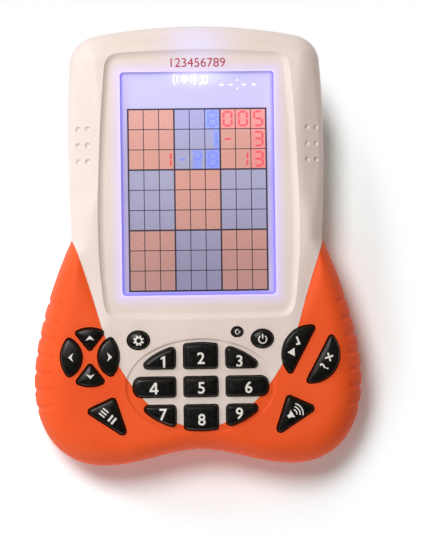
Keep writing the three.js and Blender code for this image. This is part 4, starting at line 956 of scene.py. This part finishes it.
# ~ is a blurred figure, of which two bars stand
NUMERALS = {"0": "abcdef", "1": "bc", "3": "abcdg", "5": "acdfg", "8": "abcdefg", "-": "g", "~": "bg"}


def segments(lit, level):
    """Bars of seven-segment figures: {(row, column): figure}."""
    bm = bmesh.new()
    for (row, column), figure in lit.items():
        m = cell_middle(row, column)
        for name in NUMERALS[figure]:
            side, step = SEGMENTS[name]
            x, y = m.x + side * SEGMENT_X, m.y + (step - 1) * SEGMENT_Y
            half = plan(SEGMENT / 2, SEGMENT_Y / 2 - 0.2) if side else plan(SEGMENT_X - 0.35, SEGMENT / 2)
            box((x - half.x, y - half.y, GLASS), (x + half.x, y + half.y, GLASS + level), bm)
    return bm


# Heights over which the lower colour of a film runs into the middle one, and that into the upper one; the
# upper colours are lighter, a painted backlight that is brightest near the lamp at the top
FADE_LOW, FADE_HIGH = (GRID_LOW * MM, 28 * MM), (26 * MM, 50 * MM)


def film(name, top, middle, bottom, share, glow):
    """Coloured film in the display: part see-through, a little light of its own, fine weave of electrodes,
    and painted backlight that makes it lighter towards the top.
    """
    mat, tree, place = blank(name)
    weave = add(tree, "TexWave", Vector=place, Scale=per_mm(0.9), Distortion=1.5, bands_direction="X")
    x, y, z = add(tree, "SeparateXYZ", place).outputs
    low = add(tree, "MapRange", y, *FADE_LOW, **SOFT)
    high = add(tree, "MapRange", y, *FADE_HIGH, **SOFT)
    colour = add(tree, "Mix", low, paint(bottom), paint(middle), **COLOUR)
    colour = add(tree, "Mix", high, colour, paint(top), **COLOUR)
    weave = add(tree, "Math", weave.outputs["Fac"], 0.08, **TIMES)
    colour = add(tree, "Mix", weave, colour, paint("#5A4A58"), **COLOUR)
    lit = add(tree, "BsdfPrincipled", Base_Color=colour, Roughness=0.45, Emission_Color=colour,
              Emission_Strength=glow)
    add(tree, "OutputMaterial", add(tree, "MixShader", share, add(tree, "BsdfTransparent"), lit))
    return mat


def display_glass():
    """Glass over the light guide, with the lamp's glow painted in: lavender, lighter upwards and whitest near
    the lamp, deep violet and brighter along the edges.
    """
    mat, tree, place = blank("display_glass")
    x, y, z = add(tree, "SeparateXYZ", place).outputs
    cloud = add(tree, "TexNoise", Vector=place, Scale=per_mm(14), Detail=2.0)
    height = add(tree, "Math", y, add(tree, "Math", cloud, 4 * MM, **TIMES), **PLUS)
    high = add(tree, "MapRange", height, 25 * MM, 52 * MM, **SOFT)
    colour = add(tree, "Mix", high, paint("#A9A4CC"), paint("#CDCBF0"), **COLOUR)
    side = add(tree, "Math", WINDOW_HALF * MM, add(tree, "Math", x, **SIZE), **MINUS)
    ends = add(tree, "MapRange", side, 1 * MM, 9 * MM, 0.75, 0.0, **SOFT)
    colour = add(tree, "Mix", add(tree, "Math", ends, cloud, **TIMES), colour, paint("#D8CCCE"), **COLOUR)
    # Painted backlight glow along the edges: deep violet and more light of its own, which also lifts the
    # shade that the window's walls cast on the glass
    inside = add(tree, "Math", side, add(tree, "Math", y, WINDOW_BOTTOM * MM, **MINUS), **LEAST)
    edge = add(tree, "MapRange", inside, 0.0, 1.6 * MM, 1.0, 0.0, **SOFT)
    colour = add(tree, "Mix", edge, colour, paint("#847CE4"), **COLOUR)
    # Painted glow of the lamp: whiter and with more light of its own near it, at the top of the window
    lamp_y = add(tree, "Math", add(tree, "Math", y, WINDOW_TOP * MM, **MINUS), per_mm(7), **TIMES)
    lamp_place = add(tree, "CombineXYZ", add(tree, "Math", x, per_mm(15), **TIMES), lamp_y)
    near = add(tree, "MapRange", add(tree, "VectorMath", lamp_place, **LENGTH), 0.0, 1.0, 0.7, 0.0, **SOFT)
    colour = add(tree, "Mix", near, colour, paint("#EEF3FF"), **COLOUR)
    level = add(tree, "MapRange", edge, 0.0, 1.0, 0.34, 0.62, **SOFT)
    glow = add(tree, "Math", add(tree, "Math", near, 0.2, **TIMES), level, **PLUS)
    lit = add(tree, "BsdfPrincipled", Base_Color=colour, Roughness=0.4, Emission_Color=colour,
              Emission_Strength=glow)
    add(tree, "OutputMaterial", lit)
    return mat


# Pale filters of the display, printed on its glass
salmon_filter = film("salmon_filter", "#E8AD9A", "#DBA08B", "#BB8D7D", 1.0, 0.34)
blue_filter = film("blue_filter", "#B6B6E4", "#AAABC0", "#918EA4", 1.0, 0.34)
# Dark ink of the grid
grid_ink = film("grid_ink", "#35283A", "#35283A", "#2C2130", 0.88, 0.0)
# Display segments that are off: a faint shade
idle_film = film("idle_film", "#7C6A86", "#7C6A86", "#5E5064", 0.025, 0.0)
# Lit segments, red, blue and white, and the faint haze of light round them
red_film = film("red_film", "#F45A6A", "#F04E60", "#EE4058", 0.68, 0.4)
blue_film = film("blue_film", "#8FA2FF", "#8497FF", "#7488F6", 0.75, 0.4)
blue_haze = film("blue_haze", "#A9C0FF", "#93A8FF", "#93A8FF", 0.5, 0.4)
red_haze = film("red_haze", "#FFB4B4", "#FA9A98", "#F58088", 0.4, 0.4)
white_film = film("white_film", "#FAFCFF", "#FAFCFF", "#F4F7FF", 0.95, 0.6)

on_screen("salmon_blocks", tiles(False), salmon_filter)
on_screen("blue_blocks", tiles(True), blue_filter)
dressed(grid_lines(), "screen_grid_lines", "case", grid_ink)
idle = {(r, c): "8" for r in range(9) for c in range(9)}
on_screen("idle_segments", segments(idle, 0.05), idle_film)
red_marks = {(0, 6): "0", (0, 7): "0", (0, 8): "5", (1, 6): "-", (1, 8): "3",
             (2, 2): "1", (2, 7): "1", (2, 8): "3"}
on_screen("red_segments", segments(red_marks, 0.06), red_film)
blue_marks = {(2, 3): "-", (2, 4): "~", (2, 5): "8", (0, 5): "8", (1, 5): "1"}
on_screen("blue_segments", segments(blue_marks, 0.06), blue_film)
HAZE_HALF = 0.49  # of a cell


def haze(cells):
    """Glow over lit cells, from a left to a right share of each: (row, column, left, right)."""
    bm = bmesh.new()
    for row, column, left, right in cells:
        m, half = cell_middle(row, column), plan(CELL_X, CELL_Y) * HAZE_HALF
        box((m.x + left * half.x, m.y - half.y, GLASS),
            (m.x + right * half.x, m.y + half.y, GLASS + 0.045), bm)
    return bm


blue_cells = [(0, 5, -1, 1), (1, 5, 0.1, 1), (2, 4, -0.6, 0.6), (2, 5, -1, 1)]
on_screen("blue_haze", haze(blue_cells), blue_haze)
red_cells = [(row, column, -1, 1) for row, column in ((0, 6), (0, 7), (0, 8), (1, 8), (2, 8))]
on_screen("red_haze", haze(red_cells), red_haze)
bell = [[(-1.35, -0.75), (1.35, -0.75)] + [plan(0, 0.35) + ring_point(1.0, 15 * k) for k in range(13)],
        bar(-0.4, -1.1, 0.4, -1.1, 0.4)]
bell += [arc(0, 0, r, 0.36, a - 32, a + 32) for r in (2.5, 3.7) for a in (0, 180)]
note = [bar(-0.7, -1.2, -0.7, 1.0, 0.34), bar(0.8, -0.9, 0.8, 1.2, 0.34), bar(-0.87, 1.29, 0.97, 1.5, 0.52),
        oval(-1.38, -1.2, 0.5, 0.4, 12), oval(0.12, -0.9, 0.5, 0.4, 12)]
clock = [bar(x - 0.65, 53.5, x + 0.65, 53.5, 0.5) for x in (8.4, 11.5, 15.9, 19.2)]
clock += [bar(13.7, y - 0.25, 13.7, y + 0.25, 0.5) for y in (52.2, 55.0)]
signs = [[plan(p[0] - 4.0, p[1] + 55.5) for p in points] for points in bell]
signs += [[plan(p[0] + 2.8, p[1] + 55.1) for p in points] for points in note]
on_screen("signs", marks(signs + clock, GLASS, GLASS + 0.06), white_film)


# Back of the case

BAY_HALF, BAY_LOW, BAY_HIGH = 17.05, -31.55, 19.55
LEDGE_EDGE = BAY_HIGH + 4.0
TUB_WALL, CORE_WALL = 1.2, 1.1
BATTERY_RADIUS, BATTERY_PITCH = 5.25, 11.1
BATTERY_Z = span("battery_1")[0].z + BATTERY_RADIUS
BAY_ROOF, POCKET_TOP, DOOR_INNER = 13.6, 5.2, 2.3
TAB_X, TAB_HALF = 10.05, 3.0
DOOR_CORNER, DOOR_EDGE = 2.0, 0.6
BUZZER_Y, BUZZER_LOW = 45.7, span("buzzer_disc")[0].z
BUZZER_SEAT, BUZZER_ROOM = 9.1, 7.4
SOUND_HOLE, SOUND_RING = 0.8, 4.0
POST_RADIUS, SCREW_HOLE, WELL_RADIUS, WELL_DEPTH = 3.9, 1.55, 2.8, 3.2
LEAD_HOLE_LOW, LEAD_HOLE_HIGH = BATTERY_Z + 1.8, BATTERY_Z + 3.8
SCOOP_RADIUS, SCOOP_DROP = 7, 5.4
screw_places = [(side * x, y) for x, y in ((33.3, 60.5), (34.3, -2.0), (45.45, -57.0)) for side in (-1, 1)]


def at_screws(low, high, radius):
    bm = bmesh.new()
    for x, y in screw_places:
        drum(x, y, low, high, radius, bm)
    return bm


rear = as_object("rear", loft(edge_rings(False, 14)))
carve(rear, at_screws(-1, WELL_DEPTH, WELL_RADIUS))
part_skin(rear, False, "rear_grip_skin", "rear_grip")
# Walls of the battery bay, seat of the buzzer and screw posts, then what is cut out of them
half, roof, ledge = BAY_HALF + TUB_WALL, BAY_ROOF + TUB_WALL, LEDGE_EDGE + TUB_WALL
carve(rear, box((-half, BAY_LOW - TUB_WALL, CORE_WALL), (half, BAY_HIGH + TUB_WALL, roof)), "UNION")
carve(rear, box((-half + 1, BAY_HIGH, CORE_WALL), (half - 1, ledge, POCKET_TOP + TUB_WALL)), "UNION")
carve(rear, drum(0, BUZZER_Y, CORE_WALL, BUZZER_LOW, BUZZER_SEAT), "UNION")
posts = as_object("posts", at_screws(CORE_WALL, SEAM, POST_RADIUS))
carve(rear, carve(posts, inner_form(False, WALL - CORE_WALL / 2), "INTERSECT"), "UNION")
carve(rear, at_screws(-1, WELL_DEPTH, WELL_RADIUS))
holes = at_screws(-1, SEAM + 1, SCREW_HOLE)
for k in range(7):
    hole = plan(0, BUZZER_Y) + ring_point(SOUND_RING if k else 0, 60 * k)
    drum(*hole, -1, WALL + 1, SOUND_HOLE, holes, 24)
carve(rear, holes)
carve(rear, drum(0, BUZZER_Y, WALL, BUZZER_LOW + 1, BUZZER_ROOM))
carve(rear, box((-BAY_HALF, BAY_LOW, -1), (BAY_HALF, BAY_HIGH, BAY_ROOF)))
carve(rear, box((1 - BAY_HALF, BAY_HIGH - 1, -1), (BAY_HALF - 1, LEDGE_EDGE, POCKET_TOP)))
door_seat = rounded_box(DOOR_HIGH.x + FIT, DOOR_LOW.y - FIT, DOOR_HIGH.y + FIT, DOOR_CORNER + FIT)
carve(rear, prism(door_seat, -1, DOOR_INNER + FIT))
slots = bmesh.new()
for x in (-TAB_X, TAB_X):
    wide = TAB_HALF + FIT
    box((x - wide, LEDGE_EDGE - 1, DOOR_HIGH.z - 1 - FIT), (x + wide, LEDGE_EDGE + 1, POCKET_TOP), slots)
for x, low, high in ((-BATTERY_PITCH, BAY_HIGH - 1, BAY_HIGH + TUB_WALL + 1),
                     (BATTERY_PITCH, BAY_LOW - TUB_WALL - 1, BAY_LOW + 1)):
    box((x - 1, low, LEAD_HOLE_LOW), (x + 1, high, LEAD_HOLE_HIGH), slots)
carve(rear, slots)
carve(rear, ball((0, DOOR_LOW.y - 1, -SCOOP_DROP), SCOOP_RADIUS, 64, 48, bmesh.new()))
dressed(rear, "rear_shell_skin", "case", cream_abs_back, 32, ["rear_shell"], True)


# Battery door, cells and contacts

def door_plate():
    """Plate with rounded outer edges."""
    rings = []
    for k in range(6):
        angle = math.radians(90 * k / 5)
        inset = DOOR_EDGE * (1 - math.sin(angle))
        low_y, high_y = DOOR_LOW.y + inset, DOOR_HIGH.y - inset
        outline = rounded_box(DOOR_HIGH.x - inset, low_y, high_y, DOOR_CORNER - inset)
        rings.append(at(outline, DOOR_LOW.z + DOOR_EDGE * (1 - math.cos(angle))))
    return loft(rings + [at(outline, DOOR_INNER)])


door = as_object("door", door_plate())
# Two tabs that hook in behind the ledge, a lip at the other end, and grooves for a finger
root, low = LEDGE_EDGE - FIT - 1, DOOR_INNER - 0.5
for x in (-TAB_X, TAB_X):
    left, right = x - TAB_HALF, x + TAB_HALF
    carve(door, box((left, root, low), (right, root + 1, DOOR_HIGH.z)), "UNION")
    carve(door, box((left, root + 0.5, DOOR_HIGH.z - 1), (right, LEDGE_EDGE + 0.7, DOOR_HIGH.z)), "UNION")
carve(door, box((-3, BAY_LOW + FIT, low), (3, BAY_LOW + FIT + 1, DOOR_INNER + 1.2)), "UNION")
grooves = bmesh.new()
for k in range(3):
    prism(oval(0, DOOR_LOW.y + 4.5 + 2 * k, 6, 0.5, 40), -0.7, DOOR_LOW.z + 0.5, grooves)
carve(door, grooves)
dressed(door, "battery_door_plate", "battery_door", cream_abs_back, 32, ["battery_door"])

# Nickel-plated spring steel: grey, half bright, brushed by handling
nickel = moulded("nickel", "#C9C7C0", "#B4B1A8", 0.5, 0.3, 0.06, Metallic=1.0)
# Shrink sleeve of the cells: plain graphite with a copper end
sleeve = moulded("cell_sleeve", "#3C4046", "#34383E", 1.2, 0.3, 0.03, IOR=1.5)
copper_sleeve = moulded("cell_sleeve_copper", "#B4683C", "#A45C32", 1.2, 0.28, 0.03, Metallic=0.6)

BATTERY_BODY, BATTERY_LENGTH, BATTERY_RIM, COPPER_BAND = 43.7, 44.5, 4.85, 9
BATTERY_PROFILE = [
    (0, 0), (3.9, 0), (4.1, 0.25), (BATTERY_RIM, 0.25), (BATTERY_RADIUS, 0.6),
    (BATTERY_RADIUS, BATTERY_BODY - 0.6), (BATTERY_RIM, BATTERY_BODY - 0.2), (3.2, BATTERY_BODY - 0.2),
    (2.6, BATTERY_BODY), (1.9, BATTERY_BODY), (1.9, BATTERY_LENGTH - 0.2), (1.7, BATTERY_LENGTH),
    (0, BATTERY_LENGTH)]


def battery_cell(index):
    """Cell with its button up, or down in the middle place: sleeve, copper band and bare ends."""
    low, high = span(f"battery_{index}")
    bm = turned(BATTERY_PROFILE, "Y", 56)
    for face in bm.faces:
        y, away = face.calc_center_median().y, max(math.hypot(v.co.x, v.co.z) for v in face.verts)
        face.material_index = 2 if away < BATTERY_RIM - 0.25 else 1 if y > BATTERY_BODY - COPPER_BAND else 0
    place = Matrix.Translation(((low.x + high.x) / 2, high.y if index == 2 else low.y, BATTERY_Z))
    if index == 2:
        place = place @ Matrix.Rotation(math.pi, 4, "Z")
    bmesh.ops.transform(bm, matrix=place, verts=bm.verts)
    return bm


for index in (1, 2, 3):
    name = f"battery_{index}"
    obj = as_object(name, battery_cell(index))
    kinds = [f.material_index for f in obj.data.polygons]
    dressed(obj, name + "_cell", "case", sleeve, 35, [name])
    obj.data.materials.append(copper_sleeve)
    obj.data.materials.append(nickel)
    obj.data.polygons.foreach_set("material_index", kinds)


SPRING_WIRE, SPRING_TURNS, SPRING_LENGTH = 0.3, 3, 4.9
SPRING_WIDE, SPRING_NARROW, SPRING_POINTS = 3.0, 2.1, 90
PLATE_HALF, PLATE_THICK, PLATE_CORNER = 3.7, 0.5, 0.8


def cone_spring(x, wall, way):
    route = []
    for k in range(SPRING_POINTS + 1):
        share = k / SPRING_POINTS
        radius = SPRING_WIDE - (SPRING_WIDE - SPRING_NARROW) * share
        turn = ring_point(radius, 360 * SPRING_TURNS * share)
        route.append((x + turn.x, wall + way * (SPRING_WIRE + SPRING_LENGTH * share), BATTERY_Z + turn.y))
    curve = round_bar("spring", SPRING_WIRE, 3)
    add_line(curve, route)
    return mesh_of(curve)


def contact(name, x, wall, way, wide, spring):
    """Plate on the wall of the bay, over one or two cells, some with a spring on their first cell."""
    bm = cone_spring(x, wall, way) if spring else bmesh.new()
    near, far = sorted((wall, wall + way * PLATE_THICK))
    low, high = BATTERY_Z - PLATE_HALF, BATTERY_Z + PLATE_HALF
    box((x - PLATE_HALF, near, low), (x + PLATE_HALF + wide, far, high), bm)
    corners = [e for e in bm.edges if len(e.link_faces) == 2 and e.calc_length() < PLATE_THICK + 0.01 and
               abs(e.verts[0].co.y - e.verts[1].co.y) > PLATE_THICK - 0.01]
    bmesh.ops.bevel(bm, geom=corners, offset=PLATE_CORNER, segments=4, profile=0.5, affect="EDGES",
                    material=-1)
    dressed(as_object(name, bm), name + "_plate", "case", nickel, 35, [name])


contact("battery_plate", -BATTERY_PITCH, BAY_HIGH, -1, 0, False)
contact("bridge_contact_1", -BATTERY_PITCH, BAY_LOW, 1, BATTERY_PITCH, True)
contact("bridge_contact_2", 0, BAY_HIGH, -1, BATTERY_PITCH, True)
contact("battery_spring", BATTERY_PITCH, BAY_LOW, 1, 0, True)


# Screws: pan heads with a cross recess

# Zinc-plated steel: cool grey, half bright
steel = moulded("zinc_steel", "#B9BCBE", "#A6A9AB", 0.6, 0.34, 0.06, Metallic=1.0)


def screw(name, head, head_height, radius):
    """Head with shares of its radius and height, on a plain pointed shank."""
    low, high = span(name)
    middle = ((low + high) / 2).to_2d()
    seat, tip = low.z + head_height, high.z
    bm = turned([(0, low.z), (0.55 * head, low.z), (0.85 * head, low.z + 0.25 * head_height),
                 (head, low.z + 0.7 * head_height), (head, seat), (radius, seat), (radius, tip - radius),
                 (0, tip)], "Z", 40)
    move(bm, (*middle, 0))
    obj = as_object(name, bm)
    for across in (plan(0.62, 0.14) * head, plan(0.14, 0.62) * head):
        carve(obj, box((*(middle - across), low.z - 1), (*(middle + across), low.z + 0.55 * head_height)))
    dressed(obj, name + "_turned", "case", steel, 35, [name])


for index in range(1, 7):
    screw(f"case_screw_{index}", 2.5, 1.7, 1.25)
for index in range(1, 5):
    screw(f"board_screw_{index}", 1.8, 1.2, 0.9)


# Finishes of the solids that stay as they are

def on(node, material):
    """Gives a solid of the frame its finish."""
    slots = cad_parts[node].data.materials
    slots.clear()
    slots.append(material)


def clear_acrylic():
    """Hard-coated acrylic window: clear, a mirror only at a slant."""
    mat, tree, place = blank("clear_acrylic")
    dust = add(tree, "TexNoise", Vector=place, Scale=per_mm(1.5), Detail=2.0)
    rough = add(tree, "MapRange", dust, 0.3, 0.7, 0.02, 0.06, **SOFT)
    gloss = add(tree, "BsdfGlossy", Color=paint("#FFFFFF"), Roughness=rough)
    clear = add(tree, "BsdfTransparent", Color=paint("#FBFBFF"))
    outside = add(tree, "Math", 1.0, add(tree, "NewGeometry").outputs["Backfacing"], **MINUS)
    edge = add(tree, "Math", add(tree, "Fresnel", IOR=1.35), outside, **TIMES)
    add(tree, "OutputMaterial", add(tree, "MixShader", edge, clear, gloss))
    return mat


def striped(name, code, dark, pitch, ring, roughness, **shader):
    """Fine stripes or rings: copper tracks under solder mask, layers of a contact strip, turned brass."""
    mat, tree, place = blank(name)
    kind = {"wave_type": "RINGS", "rings_direction": "Z"} if ring else {"bands_direction": "X"}
    wave = add(tree, "TexWave", Vector=place, Scale=per_mm(pitch) / 6, Distortion=0.6, **kind).outputs["Fac"]
    stripe = add(tree, "MapRange", wave, 0.45, 0.6, **SOFT)
    colour = add(tree, "Mix", stripe, paint(code), paint(dark), **COLOUR)
    relief = add(tree, "Bump", Strength=0.15, Distance=0.05 * MM, Height=wave)
    surface = add(tree, "BsdfPrincipled", Base_Color=colour, Roughness=roughness, Normal=relief, **shader)
    add(tree, "OutputMaterial", surface)
    return mat


on("screen_lens", clear_acrylic())
on("lcd_panel", display_glass())
# Light guide: frosted acrylic that carries the lamp's violet light
on("light_guide", moulded("frosted_acrylic", "#E4E8FF", "#D6DAF8", 0.8, 0.45, 0.1,
                          Emission_Color=paint("#CFCBFF"), Emission_Strength=0.3))
# Moulded styrene: off-white, half matt
on("lcd_frame", moulded("white_styrene", "#E9E9E4", "#DFDFD9", 0.8, 0.5, 0.08, IOR=1.55))
# Layered silicone: dull pink with dark conducting stripes, drawn coarser than they are so that they show
on("zebra_strip", striped("layered_silicone", "#D9A8A0", "#2A2A2C", 0.4, False, 0.7))
# Cast epoxy of a lit lamp: glossy, nearly white with a violet cast
on("screen_lamp", moulded("lamp_epoxy", "#E6EAFF", "#D8DDFA", 0.8, 0.15, 0.02,
                          Emission_Color=paint("#BFC6FF"), Emission_Strength=0.8))
# Solder mask over copper tracks: glossy green, paler along the tracks
on("main_board", striped("solder_mask", "#1F6A3F", "#2E8250", 1.6, False, 0.35, Coat_Weight=0.3))
# Dropped epoxy: black, glossy, a little uneven
on("chip_blob", moulded("black_epoxy", "#141414", "#1B1B1C", 1.5, 0.25, 0.12, IOR=1.55))
# Pressed silicone: matt grey
on("keypad_mat", moulded("grey_silicone", "#8F9094", "#85868B", 0.9, 0.7, 0.1))
# Rolled brass: warm and bright, with fine rings
on("buzzer_disc", striped("rolled_brass", "#C9A455", "#B8913F", 1.2, True, 0.3, Metallic=1.0))
# Soft PVC of the leads: smooth, half glossy, red and black
for way, code, dark in (("plus", "#B4231F", "#A21D1A"), ("minus", "#17181A", "#202124")):
    for place in ("battery", "buzzer"):
        lead = f"{place}_lead_{way}"
        on(lead, moulded(lead + "_pvc", code, dark, 0.6, 0.4, 0.05))


# Camera, light and floor

VIEW_LEAN = 3.8  # degrees towards the left side of the case
VIEW_ROLL = 0.0132  # sideways drift of the case axis over its length
PIXELS_PER_MM, IMAGE_HEIGHT = 3.0, 543
SENSOR_HEIGHT = 24.0
VIEW_DISTANCE = 1200.0
VIEW_CENTRE = Vector((5.15, -8.92, 26.0))

camera = placed("camera", bpy.data.cameras.new("camera"))
scene.camera = camera
lean = math.radians(VIEW_LEAN)
back = Vector((-math.sin(lean), 0, math.cos(lean)))
right = Vector((VIEW_ROLL, 1, 0)).cross(back).normalized()
turn = Matrix((right, back.cross(right), back)).transposed().to_4x4()
camera.matrix_world = Matrix.Translation((VIEW_CENTRE + back * VIEW_DISTANCE) * MM) @ turn
camera.data.sensor_fit = "VERTICAL"
camera.data.sensor_height = SENSOR_HEIGHT
camera.data.lens = SENSOR_HEIGHT * VIEW_DISTANCE / (IMAGE_HEIGHT / PIXELS_PER_MM)
camera.data.clip_end = 10

# Lifts the paper to white where it is seen, and takes some of the orange out of its shadow
PAPER_WHITE = (1.3, 1.46, 1.52, 1)
FLOOR_HALF, FLOOR_DROP = 3000, 0.05
SHADOW_MIDDLE = (0, -20 * MM, 0)
SHADOW_SHAPE = (1.2, 1, 0)
SHADOW_NEAR, SHADOW_FAR = 78 * MM, 96 * MM

bm = bmesh.new()
bmesh.ops.create_grid(bm, x_segments=1, y_segments=1, size=FLOOR_HALF)
move(bm, (0, 0, -FLOOR_DROP))
floor = as_object("floor", bm)
# Uncoated paper: plain white, matt
mat, tree, place = blank("white_paper")
path = add(tree, "LightPath").outputs
seen = add(tree, "Math", path["Is Glossy Ray"], path["Is Transmission Ray"], **MOST)
seen = add(tree, "Math", path["Is Camera Ray"], seen, **MOST)
speckle = add(tree, "TexNoise", Vector=place, Scale=per_mm(6), Detail=2.0)
sheet = add(tree, "Mix", speckle, paint("#FAFAFA"), paint("#F6F6F6"), **COLOUR)
sheet = add(tree, "Mix", seen, sheet, PAPER_WHITE, **COLOUR)
# Away from the part, where no shadow falls, the paper runs out into plain white
from_middle = add(tree, "VectorMath", place, SHADOW_MIDDLE, **MINUS)
from_middle = add(tree, "VectorMath", from_middle, SHADOW_SHAPE, **TIMES)
reach = add(tree, "VectorMath", from_middle, **LENGTH)
away = add(tree, "MapRange", reach, SHADOW_NEAR, SHADOW_FAR, **SOFT)
far = add(tree, "Math", away, seen, **TIMES)
matt, white = add(tree, "BsdfDiffuse", sheet), add(tree, "Emission")
add(tree, "OutputMaterial", add(tree, "MixShader", far, matt, white))
floor.data.materials.append(mat)


def soft_box(name, place, size, power, colour):
    light = bpy.data.lights.new(name, "AREA")
    light.shape, light.size, light.energy, light.color = "DISK", size, power, paint(colour)[:3]
    lamp = placed(name, light)
    lamp.location = place
    lamp.rotation_euler = (-Vector(place)).to_track_quat("-Z", "Y").to_euler()


soft_box("key_light", (-0.17, 0.20, 0.58), 0.24, 2.2, "#FFFAF6")
soft_box("side_light", (-0.50, 0.36, 0.42), 0.3, 1.45, "#FFFFFF")
soft_box("front_light", (-0.3, -1.2, 0.24), 0.5, 3.0, "#FFFFFF")
world = bpy.data.worlds.new("studio")
scene.world = world
world.use_nodes = True
tree = world.node_tree
tree.nodes.clear()
# Bright walls, darker ceiling, a warm dim side to the right
x, y, z = add(tree, "SeparateXYZ", add(tree, "TexCoord").outputs["Generated"]).outputs
away = add(tree, "MapRange", x, -0.5, 0.7, **SOFT)
wall = add(tree, "MapRange", away, 0.0, 1.0, 0.5, 0.36, **SOFT)
strength = add(tree, "Math", add(tree, "MapRange", z, 0.35, 0.95, 1.0, 0.2, **SOFT), wall, **TIMES)
tint = add(tree, "Mix", away, paint("#F6F7FA"), paint("#F2D7C2"), **COLOUR)
add(tree, "OutputWorld", add(tree, "Background", tint, strength))
